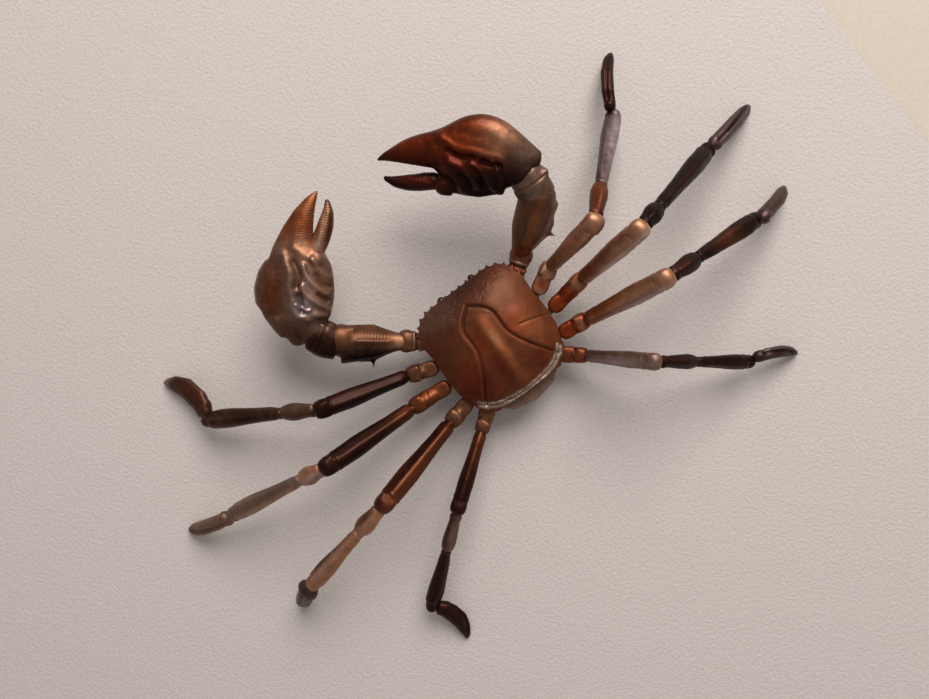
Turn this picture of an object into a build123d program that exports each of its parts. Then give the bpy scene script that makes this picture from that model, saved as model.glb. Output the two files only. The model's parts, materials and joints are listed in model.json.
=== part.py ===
"""An articulated crab ornament in patinated copper, with pinned and swivelling joints.

Every leg is a chain of five cast and chased segments. The hip pin stands upright in a
lug of the breastplate, the next two pins lie across the leg, the propodus turns on a
round spigot in the end of the carpus, and the dactyl hangs on a last cross pin. The
two claws are chains of the same kind that end in a palm with one fixed and one
pinned finger. The eyes, the mouth plates and the tail flap are pinned as well.

Units are millimetres. Z is up, the crab faces -Y, its left side is +X, and the tips
of its legs stand on Z = 0.
"""

from build123d import *
from collections import namedtuple
from math import atan2, ceil, cos, degrees, radians, sin, sqrt
import os

# Place of the body over the ground
body_x = -6.9  # middle of the shell, from the middle of the figure's whole outline
body_y = -3.1
hip_z = 8.5  # middle of the leg hips above the ground
claw_hip_z = 8.2

# Shell
shell_front = 16.3  # forward of the body's centre
shell_rear = 15.4
shell_half_width = 15.8
rim_z = 10.2  # underside of the shell's edge, which seats on the breastplate
rim_height = 1.1
crown_height = 4.7
shell_wall = 1.1
groove_depth = 0.7
groove_half_width = 0.7
tooth_radius = 0.75
tooth_height = 0.8
side_teeth = 5
front_teeth = 4

# Breastplate
belly_z = 4.4
belly_half_width = 9.2
belly_front = 11.5
belly_rear = 13.5
plate_half_width = 14.0
plate_front = 13.6
plate_rear = 14.3
plate_wall = 1.4
waist_z = 7.0

# Tail: the fixed wall behind the shell, and the flap that folds under the belly from it
wall_top_z = 10.0
wall_bottom_z = 5.7
wall_half_width = 10.4
wall_bottom_half_width = 7.0
wall_end_y = 14.2
wall_middle_y = 18.9
wall_bottom_y = 17.9
flap_hinge_y = 16.8
flap_thickness = 1.1
flap_tip_y = 1.5
flap_corner_y = 15.2
flap_half_width = 5.6
flap_tip_half_width = 1.5
flap_gap = 0.25
flap_drop = 0.5  # of the flap's face below the belly
flap_rest = 90  # forward, from straight down
flap_travel = (25, 90)

# Eyes and mouth plates
eye_x = 4.9
eye_hinge_y = 13.9
eye_hinge_z = 9.05
eye_radius = 1.05
eye_reach = 2.5
eye_travel = (-35, 0)
mouth_x = 2.2
mouth_hinge_y = 8.6
mouth_hinge_z = 5.6
mouth_length = 5.4
mouth_half_width = 1.75
mouth_thickness = 1.0
mouth_travel = (-40, 0)
mouth_frame_height = 2.8
mouth_frame_half_width = 4.3
mouth_frame_back = 7.0

# Fits
pin_fit = 0.01  # round a pin in the lugs that hold it
pin_play = 0.06  # round a pin in the eye that turns on it
side_play = 0.12  # each side of an eye between its lugs
end_play = 0.15  # round the end of an eye in its slot
spigot_play = 0.06
collar_gap = 0.12
overrun = 1.0  # how far a cut runs past the faces it opens
tongue_length = 5.4  # of the body's tongues, from the hip pins inward
fan_step = 40  # degrees between the corners of a slot that lets a link swing

# Pinned joints: pin, eye and lug radii, eye width, lug wall and neck half height
PinJoint = namedtuple("PinJoint", "pin eye lug width wall neck")
hip_joint = PinJoint(0.5, 1.5, 2.05, 1.1, 0.85, 0.9)
lift_joint = PinJoint(0.45, 1.7, 1.8, 1.2, 1.25, 1.3)
knee_joint = PinJoint(0.5, 1.75, 1.85, 1.3, 1.25, 1.2)
toe_joint = PinJoint(0.4, 1.4, 1.5, 1.0, 1.0, 1.0)
claw_hip_joint = PinJoint(0.6, 1.8, 2.4, 1.5, 1.0, 1.2)
claw_lift_joint = PinJoint(0.55, 1.95, 2.05, 1.9, 1.3, 1.5)
elbow_joint = PinJoint(0.8, 3.3, 3.4, 2.4, 1.8, 2.5)
wrist_joint = PinJoint(0.8, 2.9, 3.0, 2.4, 1.7, 2.3)
finger_joint = PinJoint(0.7, 2.1, 2.2, 2.0, 1.9, 1.6)
eye_joint = PinJoint(0.3, 0.6, 0.8, 0.8, 0.45, 0.4)
mouth_joint = PinJoint(0.3, 0.6, 0.8, 1.2, 0.6, 0.4)
flap_joint = PinJoint(0.35, 0.75, 0.95, 2.4, 1.2, 0.5)

# How far the end that carries a pin reaches below and above it, and how far the end that
# turns on it does, as shares of the lug's radius: low on the side that it folds to
even_end_share = (1.0, 1.0)
knee_end_share = (0.62, 1.0)
knee_root_share = (0.28, 0.84)
toe_end_share = (1.2, 0.65)
root_fill_share = 0.94  # of the width over the lugs, for the end that turns on the pin
socket_start_share = 0.4  # of the hip lug, where the body of the ischium starts

# Swivels between carpus and propodus
spigot_radius = 0.75
spigot_length = 2.6
spigot_end_gap = 0.2
collar_radius = 1.6
collar_length = 0.8

# Leg pairs, front to rear: place of the hip beside the body, then segment lengths,
# widths and heights, how far the dactyl arches over its chord, and the size of the knuckles
LegSize = namedtuple(
    "LegSize", "hip_x hip_y ischium merus carpus propodus dactyl width height toe arch girth"
)
leg_sizes = (
    LegSize(17.5, -3.8, 5.2, 25.4, 12.2, 26.0, 18.8, 4.7, 4.2, 3.1, 3.4, 0.97),
    LegSize(18.1, 2.3, 8.4, 28.0, 9.2, 26.5, 20.8, 5.0, 4.3, 3.2, 1.2, 1.0),
    LegSize(16.2, 9.2, 4.8, 28.6, 11.0, 22.3, 18.0, 4.9, 4.3, 3.2, 1.2, 1.0),
    LegSize(12.4, 13.8, 4.5, 21.5, 13.2, 18.3, 15.0, 4.0, 3.8, 2.7, 2.6, 0.84),
)
tip_radius = 0.75
knee_steps = 40  # halvings of the knee's travel, to find where the tip meets the ground

# Pose of each leg in degrees: heading behind the outward direction, lean of the leg's
# plane, rise of the ischium, lift of the merus, swivel and toe. The knee follows, since
# every leg stands on its tip.
LegPose = namedtuple("LegPose", "heading lean rise lift swivel toe")
left_poses = (
    LegPose(-21, -15, 7, 18, 109, 40),
    LegPose(-5, -6, 8, 20, -28, -8),
    LegPose(13, -2, 8, 21, 16, -31),
    LegPose(37, 2, 5, 9, -106, 55),
)
right_poses = (
    LegPose(-28, -14, 7, 53, 52, 22),
    LegPose(-9, -3, 4, 51, -8, 7),
    LegPose(6, -1, 5, 40, -48, -12),
    LegPose(39, 0, 9, 33, 42, 14),
)

# Full travel of the leg joints in degrees, measured from the straight leg
hip_travel = (-6, 12)  # from the heading above
lift_travel = (-15, 58)
knee_travel = (-106, 0)
swivel_travel = (-118, 118)
toe_travel = (-45, 58)

# Forms of the leg segments. Each row of merus, carpus and propodus is a share of the
# way along the free length, then shares of the leg's half width and half height.
merus_share = ((0.06, 0.84, 0.86), (0.3, 0.88, 0.92), (0.7, 1.0, 1.0), (0.94, 0.92, 0.96))
carpus_share = ((0.2, 0.76, 0.76), (0.6, 0.86, 0.92), (0.88, 0.84, 0.88), (1.0, 0.68, 0.76))
propodus_share = ((0.08, 0.7, 0.8), (0.4, 0.77, 0.9), (0.75, 0.9, 1.04), (0.96, 0.84, 1.0))
# The dactyl: shares of its length, its half width and height, and its arch
dactyl_share = (
    (0.11, 0.95, 1.1, 0.45), (0.3, 1.0, 1.25, 0.86), (0.6, 0.92, 1.1, 0.9), (0.85, 0.75, 0.82, 0.45)
)

# Claws. A claw's lay is how far its palm lies outside the line from the wrist to the tip.
ClawPose = namedtuple("ClawPose", "heading rise lift elbow wrist finger lay")
claw_hip_x = 14.7
claw_hip_y = -10.5
claw_ischium = 5.0
claw_merus = 16.9
claw_carpus = 7.9
palm_length = 20.5
palm_width = 18.5
palm_height = 9.6
finger_length = 17.0
fixed_length = 14.5
finger_side = 2.35  # of the finger's pin inside the line from the wrist to the tip
claw_merus_width = 10.2
claw_merus_height = 7.2
claw_merus_shift = 0.85  # of its middle to the outer side
claw_carpus_width = 9.2
claw_carpus_height = 7.2
claw_carpus_shift = 1.6
spine_length = 1.8
spine_tip = 0.15
wrist_twist = 11  # degrees between the elbow's pin and the wrist's
left_claw = ClawPose(-38, 9, 6, 20, 72, 8, 1.9)
right_claw = ClawPose(-35, 10, 26, 46, 54, -5, -2.2)
claw_hip_travel = (-12, 14)
claw_lift_travel = (-12, 32)
elbow_travel = (5, 50)
wrist_travel = (35, 75)
finger_travel = (-1.5, 22)  # from its place above

# Forms of the arm's segments, as for the legs
claw_merus_share = ((0.08, 0.56, 0.72), (0.3, 0.74, 0.88), (0.55, 0.98, 1.0), (0.82, 1.0, 1.0))
claw_carpus_share = ((0.08, 0.84, 0.92), (0.45, 1.0, 1.0))
claw_end_share = 1.2  # of the elbow's lug radius, for the half width of the merus at its end

world_up = Vector(0, 0, 1)
body = Vector(body_x, body_y, 0)

# Outlines as shares of half width and half height, from the top ridge round
ridged_share = (
    (0, 1), (0.58, 0.6), (1, 0.05), (0.7, -0.66), (0, -1), (-0.7, -0.66), (-1, 0.05), (-0.58, 0.6)
)

Link = namedtuple("Link", "start along up length")
Station = namedtuple("Station", "distance half_width half_height rise shift", defaults=(0, 0))
Pivot = namedtuple("Pivot", "centre along toward low high size")


def turned(vector, axis, angle):
    """Turn a vector about an axis through the origin by an angle in degrees."""
    a = radians(angle)
    return vector * cos(a) + axis.cross(vector) * sin(a) + axis * (axis.dot(vector) * (1 - cos(a)))


def end_of(link):
    """The far end of a link."""
    return link.start + link.along * link.length


def across(link):
    """The direction across a link, for which X, Y and along are right-handed."""
    return link.up.cross(link.along)


def bent(link, angle, length):
    """A link that goes on from another one, bent up by an angle in its plane."""
    a = radians(angle)
    along = link.along * cos(a) + link.up * sin(a)
    up = link.up * cos(a) - link.along * sin(a)
    return Link(end_of(link), along, up, length)


def leg_links(size, pose, side, knee):
    """The five links of one leg, from the hip to the tip; side is 1 left, -1 right."""
    heading = radians(pose.heading)
    out = Vector(side * cos(heading), sin(heading), 0)
    rear = world_up.cross(out) * side
    hip = body + Vector(side * size.hip_x, size.hip_y, hip_z)
    rise = radians(pose.rise)
    along = out * cos(rise) + world_up * sin(rise)
    upright = along.cross(rear) * side
    lean = radians(pose.lean)
    ischium = Link(hip, along, upright * cos(lean) - rear * sin(lean), size.ischium)
    merus = bent(ischium, pose.lift, size.merus)
    carpus = bent(merus, knee, size.carpus)
    propodus = Link(
        end_of(carpus), carpus.along, turned(carpus.up, carpus.along, side * pose.swivel), size.propodus
    )
    dactyl = bent(propodus, pose.toe, size.dactyl)
    return ischium, merus, carpus, propodus, dactyl


def standing_leg(size, pose, side):
    """The links of a leg whose knee is set so that its tip stands on the ground."""
    low, high = knee_travel
    for _ in range(knee_steps):
        knee = (low + high) / 2
        dactyl = leg_links(size, pose, side, knee)[4]
        if end_of(dactyl).Z > tip_radius * sqrt(1 - dactyl.along.Z**2):
            high = knee
        else:
            low = knee
    return leg_links(size, pose, side, knee), knee


def curl_of(size):
    """The angle between the dactyl's chord and its root, from its arch."""
    return degrees(2 * atan2(2 * size.arch, size.dactyl))


def slim(joint, girth):
    """A pinned joint with all but its pin and eye width made smaller."""
    return PinJoint(
        joint.pin, joint.eye * girth, joint.lug * girth, joint.width, joint.wall * girth, joint.neck * girth
    )


def leg_pivots(size, pose, side, links):
    """Hip, lift, knee and toe pins of a leg; low and high are measured from along."""
    ischium, merus, carpus, propodus, dactyl = links
    heading = radians(pose.heading)
    out = Vector(side * cos(heading), sin(heading), 0)
    rear = world_up.cross(out) * side
    hip = Pivot(ischium.start, out, rear, *hip_travel, hip_joint)
    lift = Pivot(merus.start, ischium.along, ischium.up, *lift_travel, slim(lift_joint, size.girth))
    bend = Pivot(carpus.start, merus.along, merus.up, *knee_travel, slim(knee_joint, size.girth))
    curl = curl_of(size)
    low, high = toe_travel
    toe = Pivot(
        dactyl.start, propodus.along, propodus.up, low + curl, high + curl, slim(toe_joint, size.girth)
    )
    return hip, lift, bend, toe


def claw_links(pose, side):
    """Ischium, merus, carpus and palm of one claw, from the hip to the wrist."""
    heading = radians(pose.heading)
    out = Vector(side * cos(heading), sin(heading), 0)
    front = out.cross(world_up) * side
    start = body + Vector(side * claw_hip_x, claw_hip_y, claw_hip_z)
    rise = radians(pose.rise)
    ischium = Link(
        start, out * cos(rise) + world_up * sin(rise), world_up * cos(rise) - out * sin(rise), claw_ischium
    )
    merus = bent(ischium, pose.lift, claw_merus)
    axis = merus.up * -side
    carpus = Link(end_of(merus), turned(merus.along, axis, pose.elbow), merus.up, claw_carpus)
    wrist_up = turned(merus.up, carpus.along, -side * wrist_twist)
    palm_along = turned(carpus.along, wrist_up * -side, pose.wrist)
    palm = Link(end_of(carpus), palm_along, wrist_up, palm_length)
    return ischium, merus, carpus, palm


def claw_pivots(pose, side, links):
    """Hip, lift, elbow, wrist and finger pins of a claw."""
    ischium, merus, carpus, palm = links
    heading = radians(pose.heading)
    out = Vector(side * cos(heading), sin(heading), 0)
    rear = world_up.cross(out) * side
    hip = Pivot(ischium.start, out, rear, *claw_hip_travel, claw_hip_joint)
    lift = Pivot(merus.start, ischium.along, ischium.up, *claw_lift_travel, claw_lift_joint)
    inward = turned(merus.along, merus.up * -side, 90)
    elbow = Pivot(carpus.start, merus.along, inward, *elbow_travel, elbow_joint)
    wrist_in = turned(carpus.along, palm.up * -side, 90)
    wrist = Pivot(palm.start, carpus.along, wrist_in, *wrist_travel, wrist_joint)
    palm_in = turned(palm.along, palm.up * -side, 90)
    root = palm.start + palm.along * (palm.length - finger_joint.lug) + palm_in * (finger_side - pose.lay)
    low, high = finger_travel
    finger = Pivot(root, palm.along, palm_in, pose.finger + low, pose.finger + high, finger_joint)
    return hip, lift, elbow, wrist, finger


def pivot_plane(pivot, level):
    """A plane square to a pin, with X along the link that carries it."""
    axis = pivot.along.cross(pivot.toward)
    return Plane(origin=pivot.centre + axis * level, x_dir=pivot.along, z_dir=axis)


def seen_from_child(pivot):
    """A pivot as the piece that turns on it sees it, for a joint whose fork turns."""
    return Pivot(
        pivot.centre, pivot.along * -1, pivot.toward * -1, -pivot.high, -pivot.low, pivot.size
    )


def lug_half(size):
    """Half the width over the two lugs of a pinned joint."""
    return size.width / 2 + side_play + size.wall


def add_lugs(pivot, back, end_share=even_end_share):
    """The full-width end that becomes a pair of lugs once its slot is cut."""
    size = pivot.size
    half = lug_half(size)
    low, high = [min(share, 1) * size.lug for share in end_share]
    with BuildSketch(pivot_plane(pivot, -half)) as outline:
        Circle(size.lug)
        with Locations((-back / 2, (high - low) / 2)):
            Rectangle(back, high + low)
    extrude(outline.sketch, amount=2 * half)


def cut_slot(pivot):
    """The slot for the eye and for the swing of its neck, and the hole of the pin."""
    size = pivot.size
    half = size.width / 2 + side_play
    neck = size.neck + end_play
    reach = 2 * size.lug
    steps = ceil((pivot.high - pivot.low) / fan_step)
    turn = radians(pivot.high - pivot.low) / steps
    corner = reach / cos(turn / 2)
    low = radians(pivot.low)
    high = radians(pivot.high)
    fan = [(sin(low) * neck, -cos(low) * neck)]
    fan.append((fan[0][0] + reach * cos(low), fan[0][1] + reach * sin(low)))
    for i in range(1, steps):
        fan.append((corner * cos(low + i * turn), corner * sin(low + i * turn)))
    fan.append((-sin(high) * neck + reach * cos(high), cos(high) * neck + reach * sin(high)))
    fan.append((-sin(high) * neck, cos(high) * neck))
    with BuildSketch(pivot_plane(pivot, -half)) as slot:
        Circle(size.eye + end_play)
        Polygon(*fan, align=None)
    extrude(slot.sketch, amount=2 * half, mode=Mode.SUBTRACT)
    deep = lug_half(size) + overrun
    with BuildSketch(pivot_plane(pivot, -deep)) as hole:
        Circle(size.pin + pin_fit)
    extrude(hole.sketch, amount=2 * deep, mode=Mode.SUBTRACT)


def add_pin(pivot):
    """The pin, riveted flush with the lugs."""
    half = lug_half(pivot.size)
    with BuildSketch(pivot_plane(pivot, -half)) as section:
        Circle(pivot.size.pin)
    extrude(section.sketch, amount=2 * half)


def add_eye(pivot, angle, neck_length):
    """The eye that turns on a pin, with its flat neck at an angle from along."""
    size = pivot.size
    a = radians(angle)
    middle = (cos(a) * neck_length / 2, sin(a) * neck_length / 2)
    with BuildSketch(pivot_plane(pivot, -size.width / 2)) as outline:
        Circle(size.eye)
        with Locations(Location(middle, angle)):
            Rectangle(neck_length, 2 * size.neck)
    extrude(outline.sketch, amount=size.width)


def cut_eye(pivot):
    """The bore of an eye."""
    size = pivot.size
    deep = size.width / 2 + overrun
    with BuildSketch(pivot_plane(pivot, -deep)) as hole:
        Circle(size.pin + pin_play)
    extrude(hole.sketch, amount=2 * deep, mode=Mode.SUBTRACT)


def skin(link, stations, outline_share):
    """Loft an outline through stations along a link."""
    side_dir = across(link)
    sections = []
    for at in stations:
        points = [(x * at.half_width, y * at.half_height) for x, y in outline_share]
        origin = link.start + link.along * at.distance + link.up * at.rise + side_dir * at.shift
        with BuildSketch(Plane(origin=origin, x_dir=side_dir, z_dir=link.along)) as section:
            Polygon(*points, align=None)
        sections.append(section.sketch)
    loft(sections, ruled=True)


def end_station(distance, half_width, size, end_share):
    """A station at a pinned end, with its own reach below and above the pin."""
    low, high = [share * size.lug for share in end_share]
    return Station(distance, half_width, (high + low) / 2, (high - low) / 2)


def past_lug(size):
    """Where a link may widen, measured from the pin that it turns on."""
    return size.lug + end_play


def stations_from(start, end, half_width, half_height, form_share):
    """Stations between two distances along a link, from a table of shares."""
    return [
        Station(start + u * (end - start), wide * half_width, tall * half_height)
        for u, wide, tall in form_share
    ]


os.makedirs("parts", exist_ok=True)
pivots = {}  # the pins, by the name of the piece that turns on them
swivels = {}  # the turning links, by name


def save(piece, name):
    """Label a finished piece and write its file."""
    piece.label = name
    export_step(piece, f"parts/{name}.step")


def make_leg(name, size, pose, side):
    """The five segments of one leg, each with the pin that it carries."""
    links, knee = standing_leg(size, pose, side)
    ischium, merus, carpus, propodus, dactyl = links
    hip, lift, bend, toe = leg_pivots(size, pose, side, links)
    half_width = size.width / 2
    half_height = size.height / 2
    lift_half = lug_half(lift.size)
    knee_half = lug_half(bend.size)
    toe_half = lug_half(toe.size)

    with BuildPart() as ischium_part:
        socket = seen_from_child(hip)
        add_lugs(socket, hip.size.lug)
        skin(
            ischium,
            (
                Station(socket_start_share * hip.size.lug, hip.size.lug, lug_half(hip.size)),
                Station(size.ischium, lift_half, lift.size.lug),
            ),
            ridged_share,
        )
        add_lugs(lift, lift.size.lug)
        cut_slot(socket)
        cut_slot(lift)
        add_pin(hip)
        add_pin(lift)
    save(ischium_part.part, f"{name}_ischium")

    with BuildPart() as merus_part:
        start = past_lug(lift.size)
        add_eye(lift, pose.lift, start + end_play)
        root = Station(start, root_fill_share * lift_half, lift.size.neck + end_play)
        middle = stations_from(start, size.merus - bend.size.lug, half_width, half_height, merus_share)
        far = end_station(size.merus, knee_half, bend.size, knee_end_share)
        skin(merus, [root] + middle + [far], ridged_share)
        add_lugs(bend, bend.size.lug, knee_end_share)
        cut_slot(bend)
        cut_eye(lift)
        add_pin(bend)
    save(merus_part.part, f"{name}_merus")

    with BuildPart() as carpus_part:
        start = past_lug(bend.size)
        add_eye(bend, knee, start + end_play)
        root = end_station(start, root_fill_share * knee_half, bend.size, knee_root_share)
        middle = stations_from(start, size.carpus, half_width, half_height, carpus_share)
        far = middle[-1]._replace(distance=size.carpus - collar_gap)
        skin(carpus, [root] + middle[:-1] + [far], ridged_share)
        bore_plane = Plane(origin=end_of(carpus), x_dir=carpus.up, z_dir=carpus.along * -1)
        with BuildSketch(bore_plane) as bore:
            Circle(spigot_radius + spigot_play)
        extrude(bore.sketch, amount=spigot_length + spigot_end_gap, mode=Mode.SUBTRACT)
        cut_eye(bend)
    save(carpus_part.part, f"{name}_carpus")

    with BuildPart() as propodus_part:
        spigot_plane = Plane(origin=propodus.start, x_dir=propodus.up, z_dir=propodus.along)
        with BuildSketch(spigot_plane.offset(-spigot_length)) as spigot:
            Circle(spigot_radius)
        extrude(spigot.sketch, amount=spigot_length + collar_length)
        collar_half = collar_radius * size.girth
        collar = [Station(x, collar_half, collar_half) for x in (0, collar_length)]
        middle = stations_from(
            collar_length, size.propodus - toe.size.lug, half_width, half_height, propodus_share
        )
        far = end_station(size.propodus, toe_half, toe.size, toe_end_share)
        skin(propodus, collar + middle + [far], ridged_share)
        add_lugs(toe, toe.size.lug, toe_end_share)
        cut_slot(toe)
        add_pin(toe)
    save(propodus_part.part, f"{name}_propodus")

    with BuildPart() as dactyl_part:
        curl = curl_of(size)
        neck_length = past_lug(toe.size) + end_play
        add_eye(toe, pose.toe + curl, neck_length)
        curled = radians(curl)
        root = neck_length * cos(curled)
        rise = neck_length * sin(curled)
        half = size.toe / 2
        stations = [Station(root - end_play, toe.size.width / 2, toe.size.neck, rise - end_play)]
        for u, wide, tall, arch in dactyl_share:
            stations.append(Station(u * size.dactyl, wide * half, tall * half, arch * size.arch))
        stations.append(Station(size.dactyl, tip_radius, tip_radius))
        skin(dactyl, stations, ridged_share)
        cut_eye(toe)
    save(dactyl_part.part, f"{name}_dactyl")

    pivots[f"{name}_ischium"] = (hip, 0)
    pivots[f"{name}_merus"] = (lift, pose.lift)
    pivots[f"{name}_carpus"] = (bend, knee)
    swivels[f"{name}_propodus"] = (propodus, side, pose.swivel)
    pivots[f"{name}_dactyl"] = (toe, pose.toe + curl_of(size))
    return hip


# The palm: shares of its length, then of its width (middle and half) and half height
palm_share = (
    (-0.12, 0.276, 0.049, 0.3),
    (-0.02, 0.311, 0.116, 0.62),
    (0.09, 0.34, 0.178, 0.8),
    (0.156, 0.343, 0.235, 0.84),
    (0.19, 0.195, 0.395, 0.87),
    (0.29, 0.22, 0.46, 0.95),
    (0.48, 0.205, 0.5, 1.0),
    (0.69, 0.185, 0.465, 0.94),
    (0.84, 0.155, 0.4, 0.8),
)
# The fixed finger: shares of its own length past the crotch, and of the palm's sizes
wrist_end_share = 0.17  # of the palm's length, up to where it keeps clear of the wrist
fixed_share = (
    (-0.26, 0.255, 0.27, 0.74),
    (0.03, 0.255, 0.2, 0.6),
    (0.36, 0.2, 0.165, 0.5),
    (0.64, 0.14, 0.12, 0.38),
    (0.86, 0.07, 0.068, 0.24),
    (1.0, -0.005, 0.026, 0.09),
)
# The moving finger: shares of its length, then side shift, half width and half height
finger_share = (
    (0.16, 0.0, 0.125, 0.5),
    (0.34, 0.0, 0.132, 0.48),
    (0.56, 0.015, 0.112, 0.42),
    (0.8, 0.02, 0.077, 0.3),
    (1.0, -0.01, 0.035, 0.12),
)
# Sections of the palm and fingers, as shares of half width and half height
knobby_share = (
    (0, 1), (0.5, 0.78), (0.9, 0.4), (1, -0.1), (0.75, -0.62), (0.3, -0.96),
    (-0.3, -0.96), (-0.75, -0.62), (-1, -0.1), (-0.9, 0.4), (-0.5, 0.78),
)


def make_claw(name, pose, side):
    """The five pieces of one claw, each with the pin that it carries."""
    links = claw_links(pose, side)
    ischium, merus, carpus, palm = links
    hip, lift, elbow, wrist, finger = claw_pivots(pose, side, links)
    half_width = claw_merus_width / 2
    half_height = claw_merus_height / 2

    with BuildPart() as ischium_part:
        socket = seen_from_child(hip)
        add_lugs(socket, hip.size.lug)
        skin(
            ischium,
            (
                Station(socket_start_share * hip.size.lug, hip.size.lug, lug_half(hip.size)),
                Station(claw_ischium, lug_half(lift.size), lift.size.lug),
            ),
            ridged_share,
        )
        add_lugs(lift, lift.size.lug)
        cut_slot(socket)
        cut_slot(lift)
        add_pin(hip)
        add_pin(lift)
    save(ischium_part.part, f"{name}_ischium")

    with BuildPart() as merus_part:
        start = past_lug(lift.size)
        add_eye(lift, pose.lift, start + end_play)
        root = Station(start, root_fill_share * lug_half(lift.size), lift.size.neck + end_play)
        end = claw_merus - elbow.size.eye
        middle = stations_from(start, end, half_width, half_height, claw_merus_share)
        middle = [at._replace(shift=side * claw_merus_shift * at.distance / end) for at in middle]
        far = Station(claw_merus, claw_end_share * elbow.size.lug, lug_half(elbow.size))
        skin(merus, [root] + middle + [far], ridged_share)
        add_lugs(elbow, elbow.size.lug)
        widest = middle[-2]
        outer = across(merus) * side
        spine_root = merus.start + merus.along * widest.distance
        spine_plane = Plane(origin=spine_root, x_dir=merus.along, z_dir=outer)
        reach = widest.half_width + side * widest.shift
        with BuildSketch(spine_plane.offset(reach - spine_length / 2)) as thorn:
            RegularPolygon(spine_length / 2, 4)
        with BuildSketch(spine_plane.offset(reach + spine_length)) as thorn_tip:
            RegularPolygon(spine_tip, 4)
        loft([thorn.sketch, thorn_tip.sketch], ruled=True)
        cut_slot(elbow)
        cut_eye(lift)
        add_pin(elbow)
    save(merus_part.part, f"{name}_merus")

    with BuildPart() as carpus_part:
        start = past_lug(elbow.size)
        add_eye(elbow, pose.elbow, start + 2 * end_play)
        middle = stations_from(
            start, claw_carpus, claw_carpus_width / 2, claw_carpus_height / 2, claw_carpus_share
        )
        middle = [at._replace(shift=side * claw_carpus_shift) for at in middle]
        root = Station(start, elbow.size.neck, elbow.size.width / 2)
        far = Station(claw_carpus, wrist.size.lug, lug_half(wrist.size))
        skin(carpus, [root] + middle + [far], ridged_share)
        add_lugs(wrist, wrist_joint.lug)
        cut_slot(wrist)
        cut_eye(elbow)
        add_pin(wrist)
    save(carpus_part.part, f"{name}_carpus")

    with BuildPart() as palm_part:
        add_eye(wrist, pose.wrist, past_lug(wrist_joint) + 3 * end_play)
        stations = []
        for u, middle, half, tall in palm_share:
            lay = max(pose.lay, 0) if u < wrist_end_share else pose.lay
            inner = (middle - half) * palm_width + lay
            outer = max((middle + half) * palm_width + pose.lay, inner + half * palm_width)
            stations.append(
                Station(
                    u * palm_length,
                    (outer - inner) / 2,
                    tall * palm_height / 2,
                    0,
                    side * (outer + inner) / 2,
                )
            )
        skin(palm, stations, knobby_share)
        skin(
            palm,
            [
                Station(
                    palm_length + u * fixed_length,
                    half * palm_width,
                    tall * palm_height / 2,
                    0,
                    side * (middle * palm_width + pose.lay * (1 - max(u, 0))),
                )
                for u, middle, half, tall in fixed_share
            ],
            knobby_share,
        )
        add_lugs(finger, finger_joint.lug)
        cut_slot(finger)
        cut_eye(wrist)
        add_pin(finger)
    save(palm_part.part, f"{name}_palm")

    with BuildPart() as finger_part:
        start = past_lug(finger_joint)
        add_eye(finger, pose.finger, start + 2 * end_play)
        axis = palm.up * -side
        along = turned(palm.along, axis, pose.finger)
        finger_link = Link(finger.centre, along, palm.up, finger_length)
        stations = [Station(start, finger_joint.neck, finger_joint.width / 2)]
        for u, shift, half, tall in finger_share:
            stations.append(
                Station(
                    u * finger_length,
                    half * palm_width,
                    tall * palm_height / 2,
                    0,
                    -side * shift * palm_width,
                )
            )
        skin(finger_link, stations, knobby_share)
        cut_eye(finger)
    save(finger_part.part, f"{name}_finger")

    pivots[f"{name}_ischium"] = (hip, 0)
    pivots[f"{name}_merus"] = (lift, pose.lift)
    pivots[f"{name}_carpus"] = (elbow, pose.elbow)
    pivots[f"{name}_palm"] = (wrist, pose.wrist)
    pivots[f"{name}_finger"] = (finger, pose.finger)
    return hip


body_hips = []
for side_name, side, poses, claw_pose in (
    ("left", 1, left_poses, left_claw),
    ("right", -1, right_poses, right_claw),
):
    body_hips.append(make_claw(f"{side_name}_claw", claw_pose, side))
    for number, (size, pose) in enumerate(zip(leg_sizes, poses), start=1):
        body_hips.append(make_leg(f"{side_name}_leg{number}", size, pose, side))


def oval(half_width, front, rear, count=24, fullness=0.8):
    """Corner points of a squared oval, wider than an ellipse at its corners."""
    points = []
    for i in range(count):
        a = radians(360 * (i + 0.5) / count)
        x = abs(cos(a)) ** fullness * half_width * (1 if cos(a) > 0 else -1)
        y = abs(sin(a)) ** fullness * (rear if sin(a) > 0 else -front)
        points.append((x, y))
    return points


# Breastplate, with the lugs of every joint that the body carries
eye_pivots = {}
mouth_pivots = {}
for side_name, side in (("left", 1), ("right", -1)):
    eye_root = body + Vector(side * eye_x, -eye_hinge_y, eye_hinge_z)
    eye_pivots[side_name] = Pivot(eye_root, Vector(0, -1, 0), world_up, *eye_travel, eye_joint)
    mouth_root = body + Vector(side * mouth_x, -mouth_hinge_y, mouth_hinge_z)
    mouth_pivots[side_name] = Pivot(mouth_root, Vector(0, -1, 0), world_up, *mouth_travel, mouth_joint)
flap_bottom_z = belly_z - flap_drop
flap_root = body + Vector(0, flap_hinge_y, flap_bottom_z + flap_thickness / 2)
flap_pivot = Pivot(flap_root, world_up * -1, Vector(0, -1, 0), *flap_travel, flap_joint)
forked_pivots = list(eye_pivots.values()) + list(mouth_pivots.values()) + [flap_pivot]

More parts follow.
